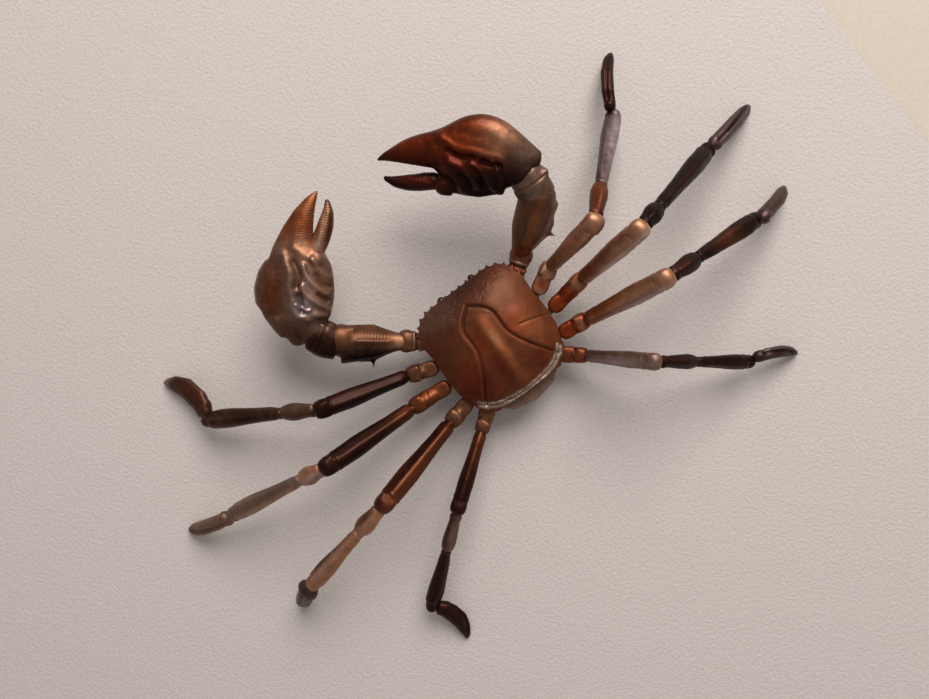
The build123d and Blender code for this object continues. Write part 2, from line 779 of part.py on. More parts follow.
wall_bend_share = (0.6, 0.75)  # where the wall's curve bends: of its half width, of its bulge
ground = Plane(origin=body, x_dir=(1, 0, 0), z_dir=(0, 0, 1))
with BuildPart() as breastplate:
    levels = []
    for level, half, front, rear in (
        (belly_z, belly_half_width, belly_front, belly_rear),
        (waist_z, plate_half_width, plate_front, plate_rear),
        (rim_z, plate_half_width, plate_front, plate_rear),
    ):
        with BuildSketch(ground.offset(level)) as outline:
            Polygon(*oval(half, front, rear), align=None)
        levels.append(outline.sketch)
    loft(levels, ruled=True)
    with BuildSketch(ground.offset(rim_z)) as hollow:
        Polygon(
            *oval(belly_half_width, belly_front - plate_wall, belly_rear - 2 * plate_wall), align=None
        )
    extrude(hollow.sketch, amount=waist_z - rim_z, mode=Mode.SUBTRACT)
    walls = []
    for level, half, outer_y in (
        (wall_bottom_z, wall_bottom_half_width, wall_bottom_y),
        (wall_top_z, wall_half_width, wall_middle_y),
    ):
        bend_x = wall_bend_share[0] * half
        bend_y = wall_end_y + wall_bend_share[1] * (outer_y - wall_end_y)
        with BuildSketch(ground.offset(level)) as wall:
            Polygon(
                (half, wall_end_y),
                (bend_x, bend_y),
                (0, outer_y),
                (-bend_x, bend_y),
                (-half, wall_end_y),
                (-bend_x, belly_rear - plate_wall),
                (bend_x, belly_rear - plate_wall),
                align=None,
            )
        walls.append(wall.sketch)
    loft(walls, ruled=True)
    for pivot in body_hips:
        add_eye(pivot, 180, tongue_length)
    with BuildSketch(ground.offset(belly_z - overrun)) as mouth_frame:
        with Locations((0, -(plate_front + overrun + mouth_frame_back) / 2)):
            Rectangle(2 * mouth_frame_half_width, plate_front + overrun - mouth_frame_back)
    extrude(mouth_frame.sketch, amount=mouth_frame_height + overrun, mode=Mode.SUBTRACT)
    with BuildSketch(ground.offset(belly_z - overrun)) as flap_seat:
        Polygon(
            (flap_tip_half_width + flap_gap, flap_tip_y - flap_gap),
            (flap_half_width + flap_gap, flap_corner_y),
            (flap_half_width + flap_gap, belly_rear + overrun),
            (-flap_half_width - flap_gap, belly_rear + overrun),
            (-flap_half_width - flap_gap, flap_corner_y),
            (-flap_tip_half_width - flap_gap, flap_tip_y - flap_gap),
            align=None,
        )
    flap_seat_depth = flap_thickness - flap_drop + flap_gap
    extrude(flap_seat.sketch, amount=flap_seat_depth + overrun, mode=Mode.SUBTRACT)
    for pivot in eye_pivots.values():
        add_lugs(pivot, 3 * eye_joint.lug)
    for pivot in mouth_pivots.values():
        add_lugs(pivot, mouth_hinge_y - mouth_frame_back + mouth_joint.lug)
    add_lugs(flap_pivot, wall_bottom_z - flap_bottom_z)
    for pivot in forked_pivots:
        cut_slot(pivot)
    for pivot in body_hips:
        cut_eye(pivot)
save(breastplate.part, "breastplate")

with BuildPart() as body_pins:
    for pivot in forked_pivots:
        add_pin(pivot)
save(body_pins.part, "body_pins")


# Shell: shares of its front and rear reach, half width and crown height, and where the
# groove beside the middle field runs as a share of the half width
shell_share = (
    (-1.0, 0.56, 0.12, 0.0),
    (-0.93, 0.8, 0.35, 0.0),
    (-0.75, 0.95, 0.68, 0.0),
    (-0.55, 1.0, 0.88, 0.16),
    (-0.3, 0.98, 1.0, 0.28),
    (0.05, 1.0, 1.0, 0.28),
    (0.4, 0.98, 0.93, 0.46),
    (0.78, 0.85, 0.72, 0.74),
    (1.0, 0.63, 0.36, 0.0),
)
hollow_end_share = 0.9  # of the reach, where the hollow under the shell stops
hollow_share = ((1, 0.3), (0.7, 0.75))  # its half width and height
plain_share = 0.4  # of the half width, for the groove's corners where there is no groove
flank_share = (1.0, 0.94, 0.8)  # of the half width: the edge, and two corners up the flank
crown_power_share = 2.6  # how square the shell's arch is


def crown(x_share):
    """The height of the smooth shell over its width, as a share of the crown."""
    return 1 - abs(x_share) ** crown_power_share


def shell_section(half_width, height, groove_share):
    """One upright section of the shell, with its two grooves and the middle ridge."""
    groove = groove_share if groove_share else plain_share
    depth = groove_depth if groove_share else 0
    margin = groove_half_width / half_width
    edge, brow, flank = flank_share
    top = [
        (edge, 0),
        (brow, 0),
        (flank, 0),
        ((groove + flank) / 2, depth / 2),
        (groove + margin, depth / 4),
        (groove, -depth),
        (groove - margin, 0),
        (0.0, depth / 3),
    ]
    right = [(x * half_width, rim_height + crown(x) * height + dz) for x, dz in top]
    left = [(-x, z) for x, z in reversed(right[:-1])]
    return [(half_width, 0)] + right + left + [(-half_width, 0)]


with BuildPart() as shell:
    sections = []
    hollows = []
    for y_share, width_share, height_share, groove_share in shell_share:
        y = y_share * (shell_front if y_share < 0 else shell_rear)
        half_width = width_share * shell_half_width
        height = height_share * crown_height
        plane = Plane(origin=body + Vector(0, y, rim_z), x_dir=(1, 0, 0), z_dir=(0, -1, 0))
        with BuildSketch(plane) as section:
            Polygon(*shell_section(half_width, height, groove_share), align=None)
        sections.append(section.sketch)
        if abs(y_share) < hollow_end_share:
            inner = half_width - 2 * shell_wall
            top = rim_height + height - shell_wall - groove_depth
            with BuildSketch(plane) as hollow:
                right = [(x * inner, z * top) for x, z in hollow_share]
                left = [(-x, z) for x, z in reversed(right)]
                Polygon((inner, -overrun), *right, (0, top), *left, (-inner, -overrun), align=None)
            hollows.append(hollow.sketch)
    loft(sections, ruled=True)
    loft(hollows, ruled=True, mode=Mode.SUBTRACT)
    front_y, front_share = -shell_front, shell_share[0][1]
    side_y = shell_share[3][0] * shell_front
    tooth_places = []
    for i in range(front_teeth):
        x = (i + 0.5) / front_teeth * front_share * shell_half_width
        tooth_places.append((x, front_y, -90))
    for i in range(side_teeth):
        t = (i + 0.5) / side_teeth
        x = (front_share + (1 - front_share) * sin(radians(90 * t))) * shell_half_width
        y = front_y + (side_y - front_y) * (1 - cos(radians(90 * t)))
        tooth_places.append((x, y, -90 + 75 * t))
    with BuildSketch(ground.offset(rim_z + rim_height - tooth_height)) as teeth:
        for x, y, turn in tooth_places:
            with Locations(Location((x, y), turn), Location((-x, y), 180 - turn)):
                RegularPolygon(tooth_radius, 3)
    extrude(teeth.sketch, amount=tooth_height)
save(shell.part, "shell")

# Eyes
for side_name, pivot in eye_pivots.items():
    with BuildPart() as eye:
        add_eye(pivot, 0, past_lug(eye_joint) + end_play)
        ball_centre = pivot.centre + pivot.along * eye_reach
        stalk_plane = Plane(
            origin=pivot.centre + pivot.along * past_lug(eye_joint), x_dir=(1, 0, 0), z_dir=pivot.along
        )
        with BuildSketch(stalk_plane) as stalk:
            Circle(eye_joint.neck)
        extrude(stalk.sketch, amount=eye_reach - past_lug(eye_joint))
        with Locations(ball_centre):
            Sphere(eye_radius)
        cut_eye(pivot)
    save(eye.part, f"{side_name}_eye")
    pivots[f"{side_name}_eye"] = (pivot, 0)

# Mouth plates
mouth_share = (0.8, 0.5)  # the corners of a plate: of its length, of its half width
shoulder, nose = mouth_share
for side_name, pivot in mouth_pivots.items():
    with BuildPart() as mouth:
        start = past_lug(mouth_joint)
        add_eye(pivot, 0, start + 2 * end_play)
        plate_plane = Plane(
            origin=pivot.centre - world_up * (mouth_thickness / 2), x_dir=(1, 0, 0), z_dir=(0, 0, 1)
        )
        with BuildSketch(plate_plane) as plate:
            Polygon(
                (-mouth_half_width, -start),
                (-mouth_half_width, -shoulder * mouth_length),
                (-nose * mouth_half_width, -mouth_length),
                (nose * mouth_half_width, -mouth_length),
                (mouth_half_width, -shoulder * mouth_length),
                (mouth_half_width, -start),
                align=None,
            )
        extrude(plate.sketch, amount=mouth_thickness)
        cut_eye(pivot)
    save(mouth.part, f"{side_name}_mouth_plate")
    pivots[f"{side_name}_mouth_plate"] = (pivot, 0)

# Tail flap: a tapered plate that lies in its seat under the belly
with BuildPart() as tail_flap:
    add_eye(flap_pivot, flap_rest, flap_hinge_y - flap_corner_y + end_play)
    with BuildSketch(ground.offset(flap_bottom_z)) as plate:
        Polygon(
            (flap_tip_half_width, flap_tip_y),
            (flap_half_width, flap_corner_y),
            (-flap_half_width, flap_corner_y),
            (-flap_tip_half_width, flap_tip_y),
            align=None,
        )
    extrude(plate.sketch, amount=flap_thickness)
    cut_eye(flap_pivot)
save(tail_flap.part, "tail_flap")
pivots["tail_flap"] = (flap_pivot, flap_rest)
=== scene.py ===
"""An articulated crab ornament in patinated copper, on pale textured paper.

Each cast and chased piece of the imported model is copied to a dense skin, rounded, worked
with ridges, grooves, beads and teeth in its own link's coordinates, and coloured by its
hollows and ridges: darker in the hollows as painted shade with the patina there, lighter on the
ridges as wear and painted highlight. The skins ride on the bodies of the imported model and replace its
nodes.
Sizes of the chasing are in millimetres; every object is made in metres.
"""

import json
import logging
import math
from dataclasses import dataclass, field
from enum import Enum

import bmesh
import bpy
import numpy as np
from mathutils import Matrix, Vector

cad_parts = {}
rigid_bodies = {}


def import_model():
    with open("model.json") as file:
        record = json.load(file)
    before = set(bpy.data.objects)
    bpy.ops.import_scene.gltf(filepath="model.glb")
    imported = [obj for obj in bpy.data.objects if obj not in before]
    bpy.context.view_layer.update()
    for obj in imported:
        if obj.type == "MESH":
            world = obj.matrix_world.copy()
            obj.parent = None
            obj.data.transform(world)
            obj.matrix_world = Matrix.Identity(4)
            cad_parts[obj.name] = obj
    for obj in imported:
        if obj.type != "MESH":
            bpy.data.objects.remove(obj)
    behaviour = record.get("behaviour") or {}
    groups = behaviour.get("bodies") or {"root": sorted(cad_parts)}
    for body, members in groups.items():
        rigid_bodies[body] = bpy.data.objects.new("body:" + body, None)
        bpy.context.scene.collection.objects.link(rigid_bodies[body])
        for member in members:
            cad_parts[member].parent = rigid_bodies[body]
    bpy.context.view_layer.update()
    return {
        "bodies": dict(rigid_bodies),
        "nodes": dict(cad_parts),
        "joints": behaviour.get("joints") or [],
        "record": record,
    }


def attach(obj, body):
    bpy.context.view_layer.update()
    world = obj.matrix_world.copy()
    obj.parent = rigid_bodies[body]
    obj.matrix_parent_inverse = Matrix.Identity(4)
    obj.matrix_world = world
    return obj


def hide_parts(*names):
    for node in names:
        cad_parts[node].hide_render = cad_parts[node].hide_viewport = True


LOG = logging.getLogger("crab")
MM = 0.001
GAMMA = 2.2
SIDES = ("left", "right")
LEG_PARTS = ("ischium", "merus", "carpus", "propodus", "dactyl")
CLAW_PARTS = ("ischium", "merus", "carpus", "palm", "finger")
GRAIN_PRIMES = (73856093, 19349663, 83492791)
GRAIN_SEED_PRIME = 2654435
GRAIN_MIXER = 1274126177
GRAIN_SHIFT = 7.31

Array = np.ndarray
Line = tuple[tuple[float, float], ...]
Station = tuple[float, float, float, float]


def linear(colour: tuple[int, int, int]) -> Array:
    """An sRGB colour in bytes as linear light."""
    return np.array([(c / 255) ** GAMMA for c in colour])


class Tone(Enum):
    """Colours of the copper's patina, and of its painted highlights, as sRGB bytes."""

    NIGHT = (26, 12, 8)
    UMBER = (46, 23, 15)
    COCOA = (76, 43, 30)
    EMBER = (94, 33, 14)
    CHESTNUT = (106, 57, 33)
    BRONZE = (104, 68, 47)
    RUSSET = (124, 52, 20)
    AMBER = (148, 84, 48)
    TAN = (168, 118, 88)
    MOUSE = (122, 94, 80)
    SLATE = (78, 58, 52)
    # LILAC and BONE are the purplish-white highlights of the lacquer: wherever they are laid they are
    # painted highlight.
    LILAC = (172, 152, 154)
    BONE = (208, 188, 172)

    @property
    def linear(self) -> Array:
        """The colour as linear light."""
        return linear(self.value)


NIGHT, UMBER, COCOA, EMBER, CHESTNUT, BRONZE, RUSSET, AMBER, TAN, MOUSE, SLATE, LILAC, BONE = Tone


class Slot(Enum):
    """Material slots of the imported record."""

    SHELL = "shell_copper"
    CLAW = "claw_copper"
    LEG = "leg_copper"
    UNDER = "under_copper"
    EYE = "eye_black"


def unit(vector: Array) -> Array:
    """The vector at length one."""
    return vector / np.linalg.norm(vector)


def step(values: Array, low: float, high: float) -> Array:
    """A smooth step.

    Args:
        values: Numbers to map.
        low: Where the step leaves 0.
        high: Where it reaches 1; it may be below low.

    Returns:
        Numbers from 0 to 1.
    """
    share = np.clip((values - low) / (high - low), 0.0, 1.0)
    return share * share * (3.0 - 2.0 * share)


def bell(values: Array, centre: float, width: float) -> Array:
    """A bell curve of height 1 round a centre."""
    return np.exp(-(((values - centre) / width) ** 2))


def grain(points: Array, cell: float, seed: int) -> Array:
    """Smooth value noise.

    Args:
        points: Places in millimetres, one a row.
        cell: Size of one cell of the noise.
        seed: Number that sets the pattern apart from others.

    Returns:
        One number from 0 to 1 for each point.
    """
    scaled = points / cell + seed * GRAIN_SHIFT
    low = np.floor(scaled).astype(np.int64)
    part = scaled - low
    part = part * part * (3.0 - 2.0 * part)
    total = np.zeros(len(points))
    for corner in range(8):
        offset = np.array([corner & 1, (corner >> 1) & 1, (corner >> 2) & 1])
        weight = np.prod(np.where(offset == 1, part, 1.0 - part), axis=1)
        place = low + offset
        first, second, third = (place * np.array(GRAIN_PRIMES)).T
        code = first ^ second ^ third ^ seed * GRAIN_SEED_PRIME
        code = (code ^ (code >> 13)) * GRAIN_MIXER
        total += weight * (((code ^ (code >> 16)) & 0xFFFF) / 65535.0)
    return total


def near_line(places: Array, corners: Array) -> tuple[Array, Array]:
    """How far points are from a line with corners, in the plane.

    Args:
        places: Points, two numbers a row.
        corners: Corners of the line, two numbers a row.

    Returns:
        The distance to the line, and the distance travelled along it.
    """
    nearest = np.full(len(places), np.inf)
    travelled = np.zeros(len(places))
    done = 0.0
    for first, second in zip(corners[:-1], corners[1:]):
        run = second - first
        length = np.linalg.norm(run)
        share = np.clip(((places - first) @ run) / length**2, 0.0, 1.0)
        gap = np.linalg.norm(places - first - share[:, None] * run, axis=1)
        closer = gap < nearest
        nearest = np.where(closer, gap, nearest)
        travelled = np.where(closer, done + share * length, travelled)
        done += length
    return nearest, travelled


def rounded(corners: Line, times: int = 3) -> Array:
    """A line with its corners cut again and again, so that it runs in curves.

    Args:
        corners: Corners of the line.
        times: How often they are cut.

    Returns:
        Corners of the curved line, two numbers a row.
    """
    line = np.array(corners)
    for _ in range(times):
        early = 0.75 * line[:-1] + 0.25 * line[1:]
        late = 0.25 * line[:-1] + 0.75 * line[1:]
        middle = np.stack([early, late], axis=1).reshape(-1, 2)
        line = np.vstack([line[:1], middle[1:-1], line[-1:]])
    return line


def middle_height(along: Array, height: Array, length: float, count: int) -> Array:
    """The height of a segment's middle line at each of its points.

    Args:
        along: Distance of each point along the segment.
        height: Its height.
        length: Length of the segment.
        count: Number of places that the middle is taken between.

    Returns:
        The middle's height where each point stands.
    """
    bins = np.linspace(0.0, length, count)
    index = np.clip(np.digitize(along, bins), 1, count - 1)
    shares = np.maximum(np.bincount(index, minlength=count), 1)
    middle = np.bincount(index, height, count) / shares
    return np.interp(along, bins[1:] - bins[1] / 2, middle[1:])


def table_of(items: bpy.types.bpy_prop_collection, name: str, width: int, kind: type = float) -> Array:
    """A property of a mesh's points or edges, one row for each.

    Args:
        items: The points, edges or normals.
        name: Name of the property.
        width: Numbers in a row.
        kind: Kind of number.

    Returns:
        The table.
    """
    flat = np.empty(len(items) * width, dtype=kind)
    items.foreach_get(name, flat)
    return flat.reshape(-1, width)


def squared_up(value: float, fullness: float) -> float:
    """A sine or cosine pushed out towards its limits; a fullness of 2 leaves it round."""
    return math.copysign(abs(value) ** (2 / fullness), value)


def bridge(work: bmesh.types.BMesh, rings: list[list[bmesh.types.BMVert]]) -> None:
    """Join rings of points, each to the next, with faces."""
    for low, high in zip(rings[:-1], rings[1:]):
        for j in range(len(low)):
            k = (j + 1) % len(low)
            work.faces.new((low[j], low[k], high[k], high[j]))


@dataclass(frozen=True)
class Patch:
    """A cloud of another tone, at a place in a piece's own coordinates, in millimetres."""

    tone: Tone
    place: tuple[float, ...]
    radius: tuple[float, ...]
    strength: float = 1.0

    def weight(self, coordinates: Array) -> Array:
        """How strongly the patch colours each point."""
        gaps = [(coordinates[:, i] - c) / r for i, (c, r) in enumerate(zip(self.place, self.radius))]
        return self.strength * np.exp(-sum(g * g for g in gaps))


@dataclass(frozen=True)
class Stroke:
    """A chased line on a piece: a ridge where its height is positive, else a groove."""

    corners: Line
    height: float
    width: float

    def relief(self, places: Array) -> Array:
        """The height that the stroke adds at each place."""
        return self.height * bell(near_line(places, rounded(self.corners, 2))[0], 0.0, self.width)


@dataclass(frozen=True)
class Link:
    """The straight line of one segment, with its own directions, in millimetres."""

    start: Array
    along: Array
    up: Array
    length: float

    @classmethod
    def between(cls, start: Array, end: Array, axis: Array, upright: bool) -> "Link":
        """The link between two places.

        Args:
            start: Where it starts.
            end: Where it ends.
            axis: A pin's direction, square to the link.
            upright: Whether the pin points up the link, instead of across it.

        Returns:
            The link.
        """
        along = unit(end - start)
        up = axis - along * (axis @ along) if upright else np.cross(axis, along)
        return cls(start, along, unit(up), float(np.linalg.norm(end - start)))

    @property
    def across(self) -> Array:
        """The direction square to the link and to its up."""
        return np.cross(self.up, self.along)

    def local(self, points: Array) -> Array:
        """Distance along, across and up the link, one row for each point."""
        moved = points - self.start
        return np.stack([moved @ self.along, moved @ self.across, moved @ self.up], axis=1)


@dataclass(frozen=True)
class Swell:
    """A full round form that is melted into a skin, such as the knuckle round a pin."""

    centre: Array
    axes: Array
    radii: tuple[float, float, float]
    fullness: float = 2.4
    rows: int = 16
    columns: int = 28

    @classmethod
    def knuckle(cls, centre: Array, pin: Array, radius: float, half: float) -> "Swell":
        """A barrel round a pin, which looks the same however the joint turns.

        Args:
            centre: Middle of the pin.
            pin: Direction of the pin.
            radius: Radius of the barrel.
            half: Half of its length along the pin.

        Returns:
            The barrel.
        """
        first = unit(np.cross(pin, np.array([0.31, 0.52, 0.79])))
        return cls(centre, np.stack([first, np.cross(pin, first), pin]), (radius, radius, half), 2.5)

    def add_to(self, work: bmesh.types.BMesh) -> None:
        """Add the closed form to a mesh."""
        rings = []
        for i in range(1, self.rows):
            lean = -math.pi / 2 + math.pi * i / self.rows
            level = squared_up(math.sin(lean), self.fullness)
            reach = squared_up(math.cos(lean), self.fullness)
            ring = []
            for j in range(self.columns):
                turn = 2 * math.pi * j / self.columns
                share = np.array([reach * math.cos(turn), reach * math.sin(turn), level]) * self.radii
                ring.append(work.verts.new(self.centre + share @ self.axes))
            rings.append(ring)
        ends = [work.verts.new(self.centre + sign * self.radii[2] * self.axes[2]) for sign in (-1, 1)]
        bridge(work, rings)
        for j in range(self.columns):
            k = (j + 1) % self.columns
            work.faces.new((ends[0], rings[0][k], rings[0][j]))
            work.faces.new((ends[1], rings[-1][j], rings[-1][k]))


@dataclass(frozen=True)
class Loft:
    """A full form run through stations: place along, inner edge, outer edge and half thickness."""

    start: Array
    axes: Array
    stations: tuple[Station, ...]
    fullness: float = 2.2
    rows: int = 30
    columns: int = 36

    def add_to(self, work: bmesh.types.BMesh) -> None:
        """Add the closed form to a mesh."""
        table = np.array(self.stations)
        runs = np.linspace(table[0, 0], table[-1, 0], self.rows)
        inner, outer, half = (np.interp(runs, table[:, 0], table[:, i]) for i in (1, 2, 3))
        for _ in range(2):
            for edge in (inner, outer, half):
                edge[1:-1] = 0.25 * edge[:-2] + 0.5 * edge[1:-1] + 0.25 * edge[2:]
        rings = []
        for run, low, high, thick in zip(runs, inner, outer, half):
            ring = []
            for j in range(self.columns):
                turn = 2 * math.pi * j / self.columns
                side = squared_up(math.cos(turn), self.fullness)
                level = squared_up(math.sin(turn), self.fullness)
                share = np.array([run, (low + high) / 2 + side * (high - low) / 2, level * thick])
                ring.append(work.verts.new(self.start + share @ self.axes))
            rings.append(ring)
        bridge(work, rings)
        work.faces.new(rings[0][::-1])
        work.faces.new(rings[-1])


class Skin:
    """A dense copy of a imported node, worked in millimetres before it is dressed."""

    SMOOTH_IN = 0.5
    SMOOTH_OUT = 0.52
    RIDGE_ROUNDS = 4
    RIDGE_SPREAD = 0.6
    RIDGE_ZERO = 0.015
    RIDGE_GAIN = 7.0

    def __init__(
        self, node: str, voxel: float, rounds: int, swells: tuple[Swell | Loft, ...] = (), melt: int = 0
    ) -> None:
        """Copy and remesh a node.

        Args:
            node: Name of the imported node.
            voxel: Size of the faces in millimetres.
            rounds: Rounds of smoothing, which round the edges over.
            swells: Round forms to melt into it.
            melt: Rounds of melting, which run the forms into one another.
        """
        self.node = node
        self.voxel = voxel
        source = bpy.data.objects[node].data.copy()
        source.transform(Matrix.Scale(1.0 / MM, 4))
        work = bmesh.new()
        work.from_mesh(source)
        for swell in swells:
            swell.add_to(work)
        work.to_mesh(source)
        work.free()
        holder = bpy.data.objects.new(node + "_source", source)
        bpy.context.scene.collection.objects.link(holder)
        modifier = holder.modifiers.new("voxels", "REMESH")
        modifier.mode = "VOXEL"
        modifier.voxel_size = voxel
        graph = bpy.context.evaluated_depsgraph_get()
        self.mesh = bpy.data.meshes.new_from_object(holder.evaluated_get(graph), depsgraph=graph)
        bpy.data.objects.remove(holder)
        bpy.data.meshes.remove(source)
        self.points = table_of(self.mesh.vertices, "co", 3)
        self.edges = table_of(self.mesh.edges, "vertices", 2, np.int64)
        self.degree = np.bincount(self.edges.ravel(), minlength=len(self.points)).astype(float)
        for _ in range(rounds):
            self.points = self.points + self.SMOOTH_IN * self.lean(self.points)
            self.points = self.points - self.SMOOTH_OUT * self.lean(self.points)
        for _ in range(melt):
            self.points = self.points + self.SMOOTH_IN * self.lean(self.points)
        self.refresh()

    def lean(self, values: Array) -> Array:
        """How far each point's neighbours lie from it, as an average."""
        columns = values if values.ndim == 2 else values[:, None]
        first, second = self.edges[:, 0], self.edges[:, 1]
        total = np.empty_like(columns)
        for i in range(columns.shape[1]):
            column = columns[:, i]
            total[:, i] = np.bincount(first, column[second], len(column))
            total[:, i] += np.bincount(second, column[first], len(column))
        mean = total / np.maximum(self.degree, 1.0)[:, None]
        return (mean - columns).reshape(values.shape)

    def refresh(self) -> None:
        """Write the points to the mesh and read its normals."""
        self.mesh.vertices.foreach_set("co", self.points.ravel())
        self.mesh.update()
        self.normals = table_of(self.mesh.vertex_normals, "vector", 3)

    def push(self, height: Array) -> None:
        """Move the surface out by a height in millimetres, or in where it is negative."""
        self.points = self.points + height[:, None] * self.normals
        self.refresh()

    def ridges(self) -> Array:
        """Where the surface is crest (1) or hollow (-1), over about a millimetre."""
        bend = -np.einsum("ij,ij->i", self.lean(self.points), self.normals) / self.voxel
        for _ in range(self.RIDGE_ROUNDS):
            bend = bend + self.RIDGE_SPREAD * self.lean(bend)
        return np.clip((bend - self.RIDGE_ZERO) * self.RIDGE_GAIN, -1.0, 1.0)

    def dress(self, body: str, slot: Slot, finish: "CopperFinish", colour: Array) -> None:
        """Make the object that stands for the node.

        Args:
            body: Body that the piece rides on.
            slot: A slot of the record; it is not used.
            finish: Its material.
            colour: Linear colour of each point.
        """
        self.points[:, 2] = np.maximum(self.points[:, 2], 0.0)
        self.mesh.vertices.foreach_set("co", (self.points * MM).ravel())
        self.mesh.update()
        layer = self.mesh.color_attributes.new("patina", "FLOAT_COLOR", "POINT")
        rgba = np.concatenate([colour, np.ones((len(colour), 1))], axis=1)
        layer.data.foreach_set("color", rgba.astype(np.float32).ravel())
        self.mesh.materials.clear()
        self.mesh.materials.append(finish.material())
        faces = self.mesh.polygons
        faces.foreach_set("material_index", [0] * len(faces))
        faces.foreach_set("use_smooth", [True] * len(faces))
        self.mesh.name = self.node + "_skin"
        piece = bpy.data.objects.new(self.node + "_skin", self.mesh)
        bpy.context.scene.collection.objects.link(piece)
        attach(piece, body)
        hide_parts(self.node)


@dataclass(frozen=True)
class Palette:
    """The tones of one piece: its flanks, its crests and its patches; crests are painted lighter as wear
    and painted highlight, hollows darker as painted shade.
    """

    base: Tone
    crest: Tone
    patches: list[Patch] = field(default_factory=list)
    crest_share: float = 0.3
    hollow_shade_share: float = 0.6
    mottle: float = 0.25
    cloud_cell: float = 1.1
    cloud_swing: float = 0.4
    blotch_cell: float = 2.4
    fine_cell: float = 0.9
    fine_share: float = 0.4

    def paint(self, skin: Skin, coordinates: Array, seed: int) -> Array:
        """Colour a skin.

        Args:
            skin: The worked skin.
            coordinates: Each point in the coordinates that the patches use.
            seed: Number that sets the mottling apart from other pieces.

        Returns:
            Linear colour of each point.
        """
        colour = np.tile(self.base.linear, (len(skin.points), 1))
        for patch in self.patches:
            cloud = 1.0 + self.cloud_swing * (grain(skin.points, self.cloud_cell, seed + 3) - 0.5)
            share = np.clip(patch.weight(coordinates) * cloud, 0.0, 1.0)[:, None]
            colour = colour * (1.0 - share) + patch.tone.linear * share
        blotch = grain(skin.points, self.blotch_cell, seed) * (1.0 - self.fine_share)
        blotch += grain(skin.points, self.fine_cell, seed + 1) * self.fine_share
        colour = colour * (1.0 + self.mottle * (blotch[:, None] - 0.5) * 2.0)
        # Crests go toward the crest tone, partly wear and partly painted highlight; hollows are darkened,
        # painted shade with the darker patina that gathers there.
        bend = skin.ridges()
        crest_wear_and_highlight = (self.crest_share * np.clip(bend, 0.0, 1.0))[:, None]
        colour = colour * (1.0 - crest_wear_and_highlight) + self.crest.linear * crest_wear_and_highlight
        return colour * (1.0 - self.hollow_shade_share * np.clip(-bend, 0.0, 1.0))[:, None]


class Nodes:
    """Short calls for building a material's node tree."""

    def __init__(self, name: str) -> None:
        """Start a material with a surface shader."""
        self.material = bpy.data.materials.new(name)
        self.material.use_nodes = True
        self.tree = self.material.node_tree
        self.tree.nodes.clear()
        self.shader = self.add("ShaderNodeBsdfPrincipled")
        self.join(self.shader.outputs["BSDF"], self.add("ShaderNodeOutputMaterial").inputs["Surface"])
        self.place = self.add("ShaderNodeTexCoord").outputs["Object"]

    def add(self, kind: str) -> bpy.types.Node:
        """Add a node."""
        return self.tree.nodes.new(kind)

    def join(self, source: bpy.types.NodeSocket, target: bpy.types.NodeSocket) -> None:
        """Link two sockets."""
        self.tree.links.new(source, target)

    def noise(self, scale: float, detail: float, roughness: float = 0.5) -> bpy.types.NodeSocket:
        """A noise texture.

        Args:
            scale: Cells to the metre.
            detail: Octaves.
            roughness: Share that each octave keeps.

        Returns:
            The factor output.
        """
        node = self.add("ShaderNodeTexNoise")
        node.inputs["Scale"].default_value = scale
        node.inputs["Detail"].default_value = detail
        node.inputs["Roughness"].default_value = roughness
        self.join(self.place, node.inputs["Vector"])
        return node.outputs["Fac"]

    def ranged(
        self, source: bpy.types.NodeSocket, before: tuple[float, float], after: tuple[float, float]
    ) -> bpy.types.NodeSocket:
        """Map a value from one range to another.

        Args:
            source: The value.
            before: Range that it comes in.
            after: Range that it is given.

        Returns:
            The mapped value.
        """
        node = self.add("ShaderNodeMapRange")
        node.inputs["From Min"].default_value, node.inputs["From Max"].default_value = before
        node.inputs["To Min"].default_value, node.inputs["To Max"].default_value = after
        self.join(source, node.inputs["Value"])
        return node.outputs["Result"]

    def mixed(
        self, share: bpy.types.NodeSocket, first: bpy.types.NodeSocket | Array, second: Array
    ) -> bpy.types.NodeSocket:
        """Mix two colours.

        Args:
            share: How much of the second.
            first: A colour socket or a linear colour.
            second: A linear colour.

        Returns:
            The mixed colour.
        """
        node = self.add("ShaderNodeMix")
        node.data_type = "RGBA"
        if isinstance(first, np.ndarray):
            node.inputs["A"].default_value = (*first, 1.0)
        else:
            self.join(first, node.inputs["A"])
        node.inputs["B"].default_value = (*second, 1.0)
        self.join(share, node.inputs["Factor"])
        return node.outputs["Result"]

    def scaled(self, colour: bpy.types.NodeSocket, amount: bpy.types.NodeSocket) -> bpy.types.NodeSocket:
        """A colour made lighter or darker by a value."""
        node = self.add("ShaderNodeVectorMath")
        node.operation = "SCALE"
        self.join(colour, node.inputs[0])
        self.join(amount, node.inputs["Scale"])
        return node.outputs["Vector"]

    def bump(self, heights: list[tuple[bpy.types.NodeSocket, float]]) -> None:
        """Chain bumps into the shader.

        Args:
            heights: Each height value with its depth in millimetres.
        """
        normal = None
        for value, depth in heights:
            node = self.add("ShaderNodeBump")
            node.inputs["Distance"].default_value = depth * MM
            self.join(value, node.inputs["Height"])
            if normal is not None:
                self.join(normal, node.inputs["Normal"])
            normal = node.outputs["Normal"]
        self.join(normal, self.shader.inputs["Normal"])


